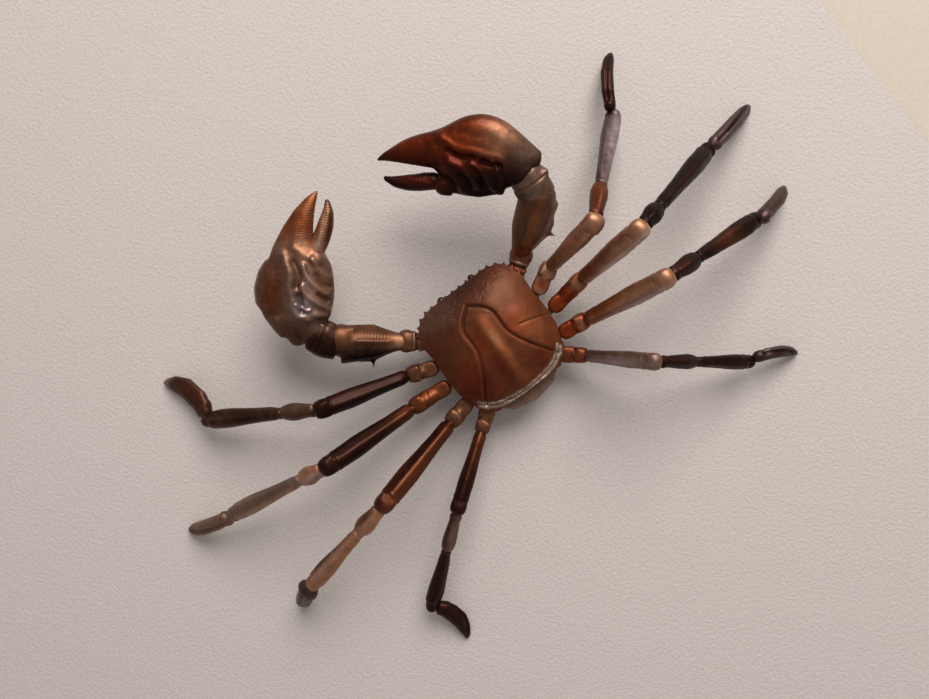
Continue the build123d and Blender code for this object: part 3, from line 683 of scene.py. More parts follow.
@dataclass(frozen=True)
class CopperFinish:
    """Patinated copper under a thin lacquer: satin, with fine granules in its highlights."""

    name: str
    rough: tuple[float, float] = (0.4, 0.54)
    metallic: float = 0.88
    coat: float = 0.07
    coat_rough: float = 0.16
    coat_tint: tuple[float, float, float] = (0.97, 0.93, 1.0)
    pits: float = 0.02
    fleck: Tone = RUSSET
    cloud_scale: float = 420.0
    speck_scale: float = 3200.0
    pit_scale: float = 1100.0
    cloud_shades: tuple[float, float] = (0.85, 1.15)
    fleck_share: float = 0.2
    dot_share: float = 0.3

    def material(self) -> bpy.types.Material:
        """The material, made once."""
        found = bpy.data.materials.get(self.name)
        if found:
            return found
        nodes = Nodes(self.name)
        paint = nodes.add("ShaderNodeAttribute")
        paint.attribute_name = "patina"
        clouds = nodes.noise(self.cloud_scale, 3.0, 0.6)
        specks = nodes.noise(self.speck_scale, 3.0, 0.6)
        cloudy = (0.3, 0.7)
        colour = nodes.scaled(paint.outputs["Color"], nodes.ranged(clouds, cloudy, self.cloud_shades))
        flecks = nodes.ranged(specks, (0.6, 0.74), (0.0, self.fleck_share))
        dots = nodes.ranged(specks, (0.4, 0.28), (0.0, self.dot_share))
        colour = nodes.mixed(dots, nodes.mixed(flecks, colour, self.fleck.linear), NIGHT.linear)
        nodes.join(colour, nodes.shader.inputs["Base Color"])
        nodes.join(nodes.ranged(clouds, cloudy, self.rough), nodes.shader.inputs["Roughness"])
        nodes.shader.inputs["Metallic"].default_value = self.metallic
        nodes.shader.inputs["Coat Weight"].default_value = self.coat
        nodes.shader.inputs["Coat Roughness"].default_value = self.coat_rough
        nodes.shader.inputs["Coat Tint"].default_value = (*self.coat_tint, 1.0)
        nodes.bump([(nodes.noise(self.pit_scale, 2.0), self.pits * 1.5), (specks, self.pits)])
        return nodes.material


@dataclass(frozen=True)
class PaperFinish:
    """Pale textured paper."""

    name: str = "textured_paper"
    pale: tuple[int, int, int] = (213, 203, 197)
    dark: tuple[int, int, int] = (206, 196, 190)
    tooth_depth: float = 0.3
    tooth_scale: float = 1150.0
    fibre_scale: float = 2500.0
    rough: float = 0.9
    specular: float = 0.15

    def material(self) -> bpy.types.Material:
        """The material of the floor."""
        nodes = Nodes(self.name)
        tooth = nodes.noise(self.tooth_scale, 4.0, 0.65)
        share = nodes.ranged(tooth, (0.35, 0.65), (0.0, 1.0))
        colour = nodes.mixed(share, linear(self.dark), linear(self.pale))
        nodes.join(colour, nodes.shader.inputs["Base Color"])
        nodes.shader.inputs["Roughness"].default_value = self.rough
        nodes.shader.inputs["Specular IOR Level"].default_value = self.specular
        fibres = nodes.noise(self.fibre_scale, 2.0)
        nodes.bump([(tooth, self.tooth_depth), (fibres, 0.3 * self.tooth_depth)])
        return nodes.material


@dataclass
class Frame:
    """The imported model's joints and nodes, read in millimetres."""

    joints: dict[str, dict]

    @classmethod
    def read(cls, frame: dict) -> "Frame":
        """Index the joints by the body that they carry."""
        return cls({joint["child"]: joint for joint in frame["joints"]})

    def place(self, body: str) -> Array:
        """Where the pin that carries a body stands."""
        return np.array(self.joints[body]["pos_m"]) / MM

    def axis(self, body: str) -> Array:
        """The direction of the pin that carries a body."""
        return unit(np.array(self.joints[body]["axis"]))

    def points(self, node: str) -> Array:
        """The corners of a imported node's mesh."""
        return table_of(bpy.data.objects[node].data.vertices, "co", 3) / MM

    def tip(self, node: str, start: Array) -> Array:
        """The corner of a node that is farthest from a place."""
        points = self.points(node)
        return points[np.argmax(np.linalg.norm(points - start, axis=1))]


@dataclass
class Leg:
    """One walking leg: five smooth segments with a keel, ring seams and a grooved last segment."""

    frame: Frame
    side: str
    number: int
    palettes: dict[str, Palette]
    girth: float = 1.0
    blade: tuple[float, float] = (1.1, 1.0)
    plump: float = 0.35
    voxel: float = 0.24
    rounds: int = 10
    melt: int = 22
    keel: float = 0.2
    furrow: float = 0.12
    ring: float = 0.12
    groove: float = 0.42
    lip: float = 0.1
    proud: float = 0.1
    tooth: float = 0.05
    forks: dict[str, tuple[str, float, float]] = field(
        default_factory=lambda: {
            "ischium": ("merus", 2.05, 2.3),
            "merus": ("carpus", 2.2, 2.4),
            "propodus": ("dactyl", 1.85, 2.0),
        }
    )
    root_span: tuple[float, float] = (2.2, 3.8)
    root_place: float = 2.7
    root_radii: tuple[float, float, float] = (1.9, 1.45, 1.5)
    middle_places: int = 24
    blade_places: int = 16
    seed: int = 1
    finish: CopperFinish = CopperFinish("leg_patina")

    @property
    def name(self) -> str:
        """What the names of the leg's nodes start with."""
        return f"{self.side}_leg{self.number}"

    def links(self) -> dict[str, Link]:
        """The five links of the leg."""
        places = [self.frame.place(f"{self.name}_{part}") for part in LEG_PARTS]
        places.append(self.frame.tip(f"{self.name}_dactyl", places[-1]))
        pins = ("merus", "merus", "carpus", "dactyl", "dactyl")
        return {
            part: Link.between(start, end, self.frame.axis(f"{self.name}_{pin}"), upright=False)
            for part, pin, start, end in zip(LEG_PARTS, pins, places[:-1], places[1:])
        }

    def knuckles(self, part: str) -> tuple[Swell, ...]:
        """The round forms of a segment: a knuckle over the fork at its end, or a full root."""
        if part == "dactyl":
            return (self.root(),)
        if part not in self.forks:
            return ()
        child, radius, half = self.forks[part]
        body = f"{self.name}_{child}"
        centre, pin = self.frame.place(body), self.frame.axis(body)
        return (Swell.knuckle(centre, pin, radius * self.girth, half * self.girth),)

    def root(self) -> Swell:
        """The full root of the last segment."""
        body = f"{self.name}_dactyl"
        start, pin, points = self.frame.place(body), self.frame.axis(body), self.frame.points(body)
        gap = np.linalg.norm(points - start, axis=1)
        near, far = self.root_span
        along = unit(points[(gap > near) & (gap < far)].mean(axis=0) - start)
        length, breadth, depth = (radius * self.girth for radius in self.root_radii)
        axes = np.stack([along, pin, np.cross(along, pin)])
        return Swell(start + self.root_place * along, axes, (length, breadth * self.blade[0], depth), 2.2)

    def widen(self, skin: Skin, link: Link) -> None:
        """Broaden the last segment about its curved middle line, across and up."""
        u, w, h = link.local(skin.points).T
        middle = middle_height(u, h, link.length, self.blade_places)
        share = step(u, 1.4, 3.2) * (1.0 - 0.4 * step(u, 0.5 * link.length, link.length))
        skin.points = skin.points + (share * (self.blade[0] - 1.0) * w)[:, None] * link.across
        skin.points = skin.points + (share * (self.blade[1] - 1.0) * (h - middle))[:, None] * link.up
        skin.refresh()

    def build(self) -> None:
        """Make, work and dress the five skins."""
        for index, (part, link) in enumerate(self.links().items()):
            skin = Skin(f"{self.name}_{part}", self.voxel, self.rounds, self.knuckles(part), self.melt)
            if part == "dactyl":
                self.widen(skin, link)
            self.chase(skin, link, part)
            local = link.local(skin.points)
            shares = np.column_stack([local[:, 0] / link.length, local[:, 1:]])
            colour = self.palettes[part].paint(skin, shares, self.seed + index)
            skin.dress(skin.node, Slot.LEG, self.finish, colour)
        LOG.info("built %s", self.name)

    def chase(self, skin: Skin, link: Link, part: str) -> None:
        """Work a keel, furrows, ring seams and the groove of the last segment.

        Args:
            skin: The segment's skin.
            link: Its link.
            part: Which segment it is.
        """
        u, w, h = link.local(skin.points).T
        length = link.length
        h = h - middle_height(u, h, length, self.middle_places)
        height = self.tooth * (grain(skin.points, 1.3, self.seed) - 0.5) * step(u, 1.6, 2.6)
        full = 0.3 + 0.7 * step(u, 0.2 * length, 0.8 * length)
        ends = step(u, 1.0, 3.4) * step(u, length + 1.0, length - 3.4)
        height += self.plump * self.girth * full * ends + self.proud
        if part in ("merus", "carpus", "propodus"):
            radius = np.maximum(np.hypot(w, h), 0.4)
            angle = np.arctan2(h, np.abs(w))
            free = step(u, 2.4, 4.4) * step(u, length - 2.2, length - 4.4)
            height += self.keel * free * bell(angle, math.pi / 2, 0.35)
            height -= self.furrow * free * bell((angle + 0.15) * radius, 0.0, 0.5)
        if part == "merus":
            height += self.ring * bell(u, length - 2.6, 0.4)
        if part == "carpus":
            height += self.ring * (bell(u, length - 0.5, 0.45) + 0.6 * bell(u, 2.6, 0.4))
        if part == "propodus":
            height += self.ring * (bell(u, 0.6, 0.45) + bell(u, length - 2.2, 0.35))
        if part == "ischium":
            slant, sign = (0.35, 0.7) if self.side == "right" else (-0.35, -1.0)
            height += sign * self.ring * bell(u + slant * w, 0.58 * length, 0.2)
        if part == "dactyl":
            free = step(u, 1.8, 3.4) * step(u, length - 1.2, length - 4.0)
            height -= self.groove * free * bell(w, 0.0, 0.42) * step(h, 0.1, 0.5)
            height += self.lip * free * bell(np.abs(w), 0.95, 0.35) * step(h, 0.0, 0.4)
        skin.push(height)


@dataclass
class Claw:
    """One claw: a serrated arm, a sculpted palm with its fixed finger, and the moving finger."""

    frame: Frame
    side: str
    palettes: dict[str, Palette]
    forms: dict[str, tuple[Station, ...]]
    finger_lean: float
    voxel: float = 0.21
    rounds: int = 8
    melt: int = 26
    serration: float = 0.06
    serration_pitch: float = 0.75
    finger_root: float = 3.0
    finger_cut: float = 2.0
    finger_bow: float = 0.5
    collar: float = 0.28
    collar_groove: float = 0.15
    crest: float = 0.35
    stria: float = 0.03
    stria_pitch: float = 0.62
    arm_stria_pitch: float = 0.8
    lump: float = 0.4
    seam: float = 0.2
    fixed_finger: tuple[float, float] = (20.5, 24.0)
    fixed_tip: tuple[float, float] = (35.5, 33.0)
    tooth: float = 0.035
    tooth_pitch: float = 0.9
    finger_crest: float = 0.14
    palm_lump: float = 0.35
    palm_grit: float = 0.05
    fixed_stria: float = 0.028
    stria_slant: float = 0.12
    palm_strokes: tuple[Stroke, ...] = (
        Stroke(((19.0, 7.6), (15.0, 5.6), (11.0, 5.6), (8.0, 4.6), (5.0, 4.4), (3.4, 0.9)), 0.55, 1.0),
        Stroke(((17.4, 5.0), (14.6, 3.4), (11.6, 3.9)), -0.7, 0.9),
        Stroke(((16.8, 2.6), (14.4, 1.8), (12.0, -0.4), (10.2, -3.2)), 0.65, 0.75),
        Stroke(((14.6, -0.8), (12.6, -2.2), (11.8, -4.6)), -0.6, 0.6),
        Stroke(((18.4, 0.4), (16.0, -1.2), (14.6, -3.0), (13.6, -5.0)), 0.55, 0.7),
        Stroke(((11.8, 2.6), (9.6, 1.6), (8.0, -0.8), (6.2, -3.8)), 0.6, 0.7),
        Stroke(((9.2, 3.2), (7.4, 2.4), (5.2, 2.4)), -0.95, 0.8),
        Stroke(((9.8, -1.6), (8.2, -3.8)), -0.65, 0.6),
        Stroke(((4.6, -1.0), (4.6, -4.8)), 0.6, 1.0),
        Stroke(((7.0, 3.6), (5.6, 1.6), (5.8, 0.4)), 0.5, 0.4),
        Stroke(((20.8, 5.0), (18.8, 1.8), (18.0, -1.0)), 0.3, 0.9),
        Stroke(((15.0, 9.4), (9.0, 9.0), (4.0, 6.6)), -0.2, 1.1),
    )
    seed: int = 40
    finish: CopperFinish = CopperFinish("claw_patina")

    @property
    def name(self) -> str:
        """What the names of the claw's nodes start with."""
        return f"{self.side}_claw"

    @property
    def hand(self) -> int:
        """1 for the left claw, -1 for the right one."""
        return 1 if self.side == "left" else -1

    def outward(self, link: Link) -> Array:
        """The direction across a link to the outer side of the claw."""
        return link.across * self.hand

    def local(self, skin: Skin, link: Link) -> Array:
        """Distance along, outward and up the link, one row for each point of a skin."""
        return link.local(skin.points) * np.array([1, self.hand, 1])

    def links(self) -> dict[str, Link]:
        """The five links of the claw, with up on the side that shows from above."""
        places = [self.frame.place(f"{self.name}_{part}") for part in CLAW_PARTS]
        tips = (self.frame.tip(f"{self.name}_{CLAW_PARTS[i]}", places[i]) for i in (3, 4))
        ends = [*places[1:4], *tips]
        links = {}
        for part, start, end in zip(CLAW_PARTS, places, ends):
            flat = part in ("ischium", "merus")
            pin = self.frame.axis(f"{self.name}_{'merus' if flat else part}")
            links[part] = Link.between(start, end, pin if flat else -self.hand * pin, upright=not flat)
        return links

    def swells(self, part: str, links: dict[str, Link]) -> tuple[Swell | Loft, ...]:
        """The knuckles and full forms of a piece.

        Args:
            part: Which piece it is.
            links: The links of the claw.

        Returns:
            Round forms to melt into the piece.
        """
        link = links[part]
        axes = np.stack([link.along, self.outward(link), link.up])

        def knuckle(child: str, radius: float, half: float) -> Swell:
            """A barrel round the pin that carries a piece."""
            body = f"{self.name}_{child}"
            return Swell.knuckle(self.frame.place(body), self.frame.axis(body), radius, half)

        full = self.forms[part]
        if part in ("merus", "carpus"):
            full = tuple((share * link.length, *sizes) for share, *sizes in full)
        loft = Loft(link.start, axes, full)
        forms = {
            "ischium": (knuckle("merus", 2.5, 3.1), loft),
            "merus": (loft, knuckle("carpus", 4.3, 4.0)),
            "carpus": (loft,),
            "palm": (knuckle("palm", 3.9, 3.9), loft, knuckle("finger", 2.6, 3.9)),
            "finger": (loft,),
        }
        return forms[part]

    def build(self) -> None:
        """Make, work and dress the five skins."""
        work = {
            "ischium": self.chase_ischium,
            "merus": self.chase_merus,
            "carpus": self.chase_carpus,
            "palm": self.chase_palm,
            "finger": self.chase_finger,
        }
        links = self.links()
        for index, (part, link) in enumerate(links.items()):
            swells = self.swells(part, links)
            skin = Skin(f"{self.name}_{part}", self.voxel, self.rounds, swells, self.melt)
            if part == "finger":
                self.curve(skin, link)
            work[part](skin, link)
            colour = self.palettes[part].paint(skin, self.local(skin, link), self.seed + index)
            skin.dress(skin.node, Slot.CLAW, self.finish, colour)
        LOG.info("built %s", self.name)

    def curve(self, skin: Skin, link: Link) -> None:
        """Shorten the moving finger and bow it like a sabre."""
        u = link.local(skin.points)[:, 0]
        share = np.clip((u - self.finger_root) / (link.length - self.finger_root), 0.0, 1.0)[:, None]
        bow = self.finger_bow * np.sin(math.pi * share) + self.finger_lean * share
        skin.points = skin.points - self.finger_cut * share * link.along - bow * self.outward(link)
        skin.refresh()

    def chase_ischium(self, skin: Skin, link: Link) -> None:
        """Two ring collars."""
        u = link.local(skin.points)[:, 0]
        collars = self.collar * (bell(u, 1.3, 0.4) + bell(u, 3.0, 0.4))
        skin.push(collars - self.collar_groove * bell(u, 2.1, 0.3))

    def chase_merus(self, skin: Skin, link: Link) -> None:
        """A serrated crest, toothed outer edge and fine cross striae."""
        u, outer, h = self.local(skin, link).T
        free = step(u, 3.0, 5.0) * step(u, link.length - 2.6, link.length - 4.4)
        teeth = 0.5 + 0.5 * np.cos(2 * math.pi * u / self.serration_pitch)
        above = step(h, 0.0, 0.3 * h.max())
        height = free * above * bell(outer, 0.0, 0.55) * (self.crest + self.serration * teeth)
        edge = step(outer, 0.72 * outer.max(), 0.92 * outer.max())
        height += free * edge * 1.4 * self.serration * (teeth + 0.6 * (grain(skin.points, 1.1, 3) - 0.5))
        striae = self.stria * np.sin(2 * math.pi * u / self.arm_stria_pitch + grain(skin.points, 1.5, 5))
        skin.push(height + free * striae * step(outer, 0.0, -1.0))

    def chase_carpus(self, skin: Skin, link: Link) -> None:
        """A cap with soft lumps and a thin seam."""
        u, _, h = link.local(skin.points).T
        lumps = self.lump * (grain(skin.points, 2.2, self.seed + 5) - 0.5)
        seam = self.seam * bell(u, 0.62 * link.length, 0.25) * step(h, 0.0, 1.0)
        skin.push(step(u, 2.2, 3.6) * (lumps - seam))

    def chase_palm(self, skin: Skin, link: Link) -> None:
        """Chased ridges and hollows on the dome, striae and tiny teeth on the fixed finger."""
        u, outer, _ = self.local(skin, link).T
        upward = skin.normals @ link.up
        height = step(upward, 0.1, 0.55) * sum(
            stroke.relief(np.column_stack([u, outer])) for stroke in self.palm_strokes
        )
        lumps = self.palm_lump * (grain(skin.points, 3.4, self.seed + 8) - 0.5)
        height += lumps * step(upward, -0.1, -0.55) * step(u, 2.0, 5.0)
        finger = step(u, *self.fixed_finger)
        slanted = u + self.stria_slant * outer
        height += finger * self.fixed_stria * np.sin(2 * math.pi * slanted / self.stria_pitch)
        inner = step(skin.normals @ self.outward(link), -0.5, -0.85) * step(u, *self.fixed_tip)
        height += finger * inner * self.tooth * np.cos(2 * math.pi * u / self.tooth_pitch)
        skin.push(height + self.palm_grit * (grain(skin.points, 0.8, self.seed + 9) - 0.5))

    def chase_finger(self, skin: Skin, link: Link) -> None:
        """Cross striae, a soft crest and tiny teeth towards the fixed finger."""
        u, outer, _ = self.local(skin, link).T
        height = self.stria * np.sin(2 * math.pi * u / self.stria_pitch)
        top = step(skin.normals @ link.up, 0.2, 0.6) * step(u, 16.0, 12.0)
        height += self.finger_crest * top * bell(outer, -0.3, 0.5)
        side = step(skin.normals @ self.outward(link), 0.5, 0.85)
        height += self.tooth * side * np.cos(2 * math.pi * u / self.tooth_pitch)
        skin.push(step(u, 2.4, 4.0) * height)


@dataclass
class Shell:
    """The carapace: raised lobes round an arrow-shaped field, and a double beaded rim behind."""

    palette: Palette
    centre: tuple[float, float] = (-6.9, -3.1)
    voxel: float = 0.17
    rounds: int = 14
    groove: float = 0.3
    lobe: float = 0.5
    lobe_reach: float = 3.2
    lobe_foot: float = 0.45
    groove_line: Line = (
        (0.0, -11.0),
        (3.1, -8.6),
        (4.7, -6.0),
        (4.4, -2.0),
        (4.7, 1.0),
        (7.2, 6.0),
        (9.6, 9.4),
        (11.4, 12.2),
    )
    rim_line: Line = ((0.0, 14.5), (5.0, 14.2), (8.6, 13.4), (10.8, 12.2), (12.4, 10.4))
    rim_step: float = 0.95
    bead: float = 0.16
    bead_pitch: float = 0.5
    bead_width: float = 0.28
    bead_shine: float = 0.9
    cast_lump: float = 0.2
    front_grit: float = 0.12
    cross_groove: Stroke = Stroke(((-8.0, 0.6), (-12.0, 1.6), (-15.5, 2.9)), -0.16, 0.28)
    ridge: Stroke = Stroke(((0.0, -5.0), (0.0, 13.0)), 0.42, 1.9)
    half_width: float = 16.0
    dome_order: int = 6
    dome_slope: float = 0.75
    dome_near: float = 0.5
    dome_reach: tuple[float, float] = (-1.0, 1.4)
    dome_rounds: int = 3
    front_rounds: int = 16
    seam_rounds: int = 14
    seed: int = 70
    finish: CopperFinish = CopperFinish("shell_patina", rough=(0.5, 0.62), metallic=0.8, coat=0.04)

    def flat(self, skin: Skin) -> tuple[Array, Array]:
        """Each point's place from the middle, seen from above, and that place on the left half."""
        places = skin.points[:, :2] - np.array(self.centre)
        return places, np.column_stack([np.abs(places[:, 0]), places[:, 1]])

    def build(self) -> None:
        """Make, work and dress the shell's skin."""
        skin = Skin("shell", self.voxel, self.rounds)
        self.smooth_dome(skin)
        flat, half = self.flat(skin)
        line = rounded(self.groove_line)
        gap, _ = near_line(half, line)
        outside = half[:, 0] > np.interp(flat[:, 1], line[:, 1], line[:, 0])
        lobes = self.lobe * np.exp(-gap / self.lobe_reach) * (1.0 - np.exp(-gap / self.lobe_foot))
        height = np.where(outside, lobes, 0.0)
        height -= self.groove * bell(gap, 0.0, 0.42)
        height += self.ridge.relief(flat) + self.cross_groove.relief(flat)
        height += self.cast_lump * (grain(skin.points, 3.6, self.seed + 2) - 0.5)
        front = step(flat[:, 1], -9.0, -12.5)
        height += self.front_grit * front * (grain(skin.points, 0.6, self.seed + 4) - 0.5)
        rim, run = near_line(half, rounded(self.rim_line))
        second, _ = near_line(half - np.array([0.3, self.rim_step]), rounded(self.rim_line))
        uneven = step(grain(skin.points, 0.45, self.seed + 6), 0.2, 0.6)
        beads = (0.5 + 0.5 * np.cos(2 * math.pi * run / self.bead_pitch)) * uneven
        both = bell(rim, 0.0, self.bead_width) + bell(second, 0.0, self.bead_width)
        height += self.bead * beads * both
        height -= self.bead * bell(rim - 0.5 * self.rim_step, 0.0, 0.2) * (second < self.rim_step)
        skin.push(height * step(skin.normals[:, 2], 0.2, 0.55))
        colour = self.palette.paint(skin, np.column_stack([flat, skin.points[:, 2]]), self.seed)
        # Painted highlight: the two rows of beads on the rear rim are blended toward BONE.
        rows = np.maximum(bell(rim, 0.0, 0.4), bell(second, 0.0, 0.4))
        shine = (self.bead_shine * rows * (0.35 + 0.65 * beads))[:, None]
        colour = colour * (1.0 - shine) + BONE.linear * shine
        skin.dress("body", Slot.SHELL, self.finish, colour)
        LOG.info("built the shell")

    def smooth_dome(self, skin: Skin) -> None:
        """Lay the top of the shell on one smooth curve, and wear the teeth of its front edge down.

        Args:
            skin: The shell's skin.
        """
        flat, half = self.flat(skin)
        x, y = (flat / self.half_width).T
        powers = range(self.dome_order + 1)
        terms = np.column_stack([x**i * y**j for i in powers for j in powers if i + j <= self.dome_order])
        upward = skin.normals[:, 2]
        chosen = upward > self.dome_slope
        for _ in range(self.dome_rounds):
            fit = np.linalg.lstsq(terms[chosen], skin.points[chosen, 2], rcond=None)[0]
            above = terms @ fit - skin.points[:, 2]
            chosen = (upward > self.dome_slope) & (np.abs(above) < self.dome_near)
        gap, _ = near_line(half, np.array(self.groove_line))
        groove = step(gap, 1.6, 0.9) * (above < 1.6) * (above > -1.0)
        share = np.maximum(step(upward, 0.6, 0.85), groove) * step(flat[:, 1], 14.4, 13.0)
        skin.points[:, 2] += share * np.clip(above, *self.dome_reach)
        front, seam = step(flat[:, 1], -13.0, -14.5), step(gap, 2.4, 1.4)
        for weight, rounds in ((front, self.front_rounds), (seam, self.seam_rounds)):
            for _ in range(rounds):
                skin.points = skin.points + 0.5 * weight[:, None] * skin.lean(skin.points)
        skin.refresh()


@dataclass
class Underside:
    """The breastplate, mouth plates and tail flap, and the pins of the body."""

    palette: Palette
    voxel: float = 0.26
    rounds: int = 5
    cast_grit: float = 0.12
    seed: int = 90
    finish: CopperFinish = CopperFinish("under_patina", rough=(0.35, 0.6), pits=0.06, fleck=AMBER)
    pin_finish: CopperFinish = CopperFinish("pin_patina", rough=(0.25, 0.4), metallic=0.8, pits=0.02)

    def build(self) -> None:
        """Dress the plates with worked skins and the pins with their finish."""
        plates = ("breastplate", "left_mouth_plate", "right_mouth_plate", "tail_flap")
        for index, node in enumerate(plates):
            skin = Skin(node, self.voxel, self.rounds)
            below = step(-skin.normals[:, 2], 0.3, 0.7)
            skin.push(self.cast_grit * below * (grain(skin.points, 1.0, self.seed + index) - 0.5))
            colour = self.palette.paint(skin, skin.points, self.seed + index)
            skin.dress("body" if node == "breastplate" else node, Slot.UNDER, self.finish, colour)
        self.dress_pins()
        LOG.info("built the underside")

    def dress_pins(self) -> None:
        """Give the pins of the body their colour and finish."""
        pins = bpy.data.objects["body_pins"]
        pins.data.materials.clear()
        pins.data.materials.append(self.pin_finish.material())


@dataclass
class Eyes:
    """Two polished dark eyes on short stalks."""

    palette: Palette
    voxel: float = 0.14
    rounds: int = 4
    seed: int = 5
    finish: CopperFinish = CopperFinish("eye_patina", rough=(0.1, 0.2), coat=0.8, pits=0.01)

    def build(self) -> None:
        """Make and dress both eyes."""
        for side in SIDES:
            skin = Skin(f"{side}_eye", self.voxel, self.rounds)
            colour = self.palette.paint(skin, skin.points, self.seed)
            skin.dress(skin.node, Slot.EYE, self.finish, colour)
        LOG.info("built the eyes")


@dataclass
class Studio:
    """Textured paper on a pale table, soft light from the top of the picture, and the camera."""

    eye: tuple[float, float, float] = (-19.8, -3.2, 205.9)
    aim: tuple[float, float, float] = (0.4, -5.7, 12.0)
    picture_up: tuple[float, float, float] = (-0.6, -0.8, 0.0)
    focal_px: float = 760.0
    width_px: float = 929.0
    floor_half: float = 700.0
    paper_edge: float = -125.0
    table_drop: float = 1.2
    lamp_place: tuple[float, float, float] = (-430.0, -330.0, 520.0)
    lamp_size: float = 520.0
    lamp_power: float = 5.6
    light_tint: tuple[float, float, float] = (1.0, 0.97, 0.95)
    world_level: float = 0.34
    table_lap: float = 60.0
    sheet_points: int = 57
    roll_height: float = 0.2
    waves_per_metre: tuple[float, float] = (9.0, 7.0)
    flat_radius: float = 200.0
    sensor_width: float = 36.0
    finish: PaperFinish = PaperFinish()
    table_finish: PaperFinish = PaperFinish("cream_table", (212, 200, 184), (206, 194, 178), 0.1)

    def build(self) -> None:
        """Make the paper, the lights and the camera."""
        far = self.floor_half
        self.lay("paper", self.paper_edge, far, 0.0, self.finish)
        self.lay("table", -far, self.paper_edge + self.table_lap, -self.table_drop, self.table_finish)
        self.light()
        self.aim_camera()
        LOG.info("set the studio")

    def lay(self, name: str, low_x: float, high_x: float, level: float, finish: PaperFinish) -> None:
        """A flat sheet with a faint roll in it.

        Args:
            name: Name of the sheet.
            low_x: Where it starts.
            high_x: Where it ends.
            level: Height of its top.
            finish: Its finish.
        """
        count = self.sheet_points
        side_x = np.linspace(low_x, high_x, count) * MM
        side_y = np.linspace(-self.floor_half, self.floor_half, count) * MM
        x, y = np.meshgrid(side_x, side_y)
        waves = 1.0 + np.sin(x * self.waves_per_metre[0]) * np.sin(y * self.waves_per_metre[1] + 1.0)
        roll = self.roll_height * waves * np.minimum(1.0, (x * x + y * y) / (self.flat_radius * MM) ** 2)
        points = np.stack([x.ravel(), y.ravel(), (level - roll).ravel() * MM], axis=1)
        faces = [
            (i * count + j, i * count + j + 1, (i + 1) * count + j + 1, (i + 1) * count + j)
            for i in range(count - 1)
            for j in range(count - 1)
        ]
        mesh = bpy.data.meshes.new(name)
        mesh.from_pydata(points.tolist(), [], faces)
        mesh.polygons.foreach_set("use_smooth", [True] * len(faces))
        mesh.materials.append(finish.material())
        sheet = bpy.data.objects.new(name, mesh)
        bpy.context.scene.collection.objects.link(sheet)

    def light(self) -> None:
        """One large soft lamp and an even sky."""
        data = bpy.data.lights.new("window", "AREA")
        data.shape = "DISK"
        data.size = self.lamp_size * MM
        data.energy = self.lamp_power
        data.color = self.light_tint
        lamp = bpy.data.objects.new("window", data)
        lamp.location = Vector(self.lamp_place) * MM
        lamp.rotation_mode = "QUATERNION"
        toward = Vector(self.aim) * MM - lamp.location
        lamp.rotation_quaternion = toward.to_track_quat("-Z", "Y")
        bpy.context.scene.collection.objects.link(lamp)
        world = bpy.data.worlds.new("room")
        world.use_nodes = True
        sky = world.node_tree.nodes["Background"]
        sky.inputs["Color"].default_value = (*self.light_tint, 1.0)
        sky.inputs["Strength"].default_value = self.world_level
        bpy.context.scene.world = world

    def aim_camera(self) -> None:
        """The camera, nearly straight above the crab."""
        data = bpy.data.cameras.new("camera")
        data.sensor_width = self.sensor_width
        data.lens = self.focal_px / self.width_px * data.sensor_width
        data.clip_start = 0.01
        data.clip_end = 10.0
        camera = bpy.data.objects.new("camera", data)
        back = (Vector(self.eye) - Vector(self.aim)).normalized()
        right = Vector(self.picture_up).cross(back).normalized()
        up = back.cross(right)
        place = Matrix((right, up, back)).transposed().to_4x4()
        place.translation = Vector(self.eye) * MM
        camera.matrix_world = place
        bpy.context.scene.collection.objects.link(camera)
        bpy.context.scene.camera = camera


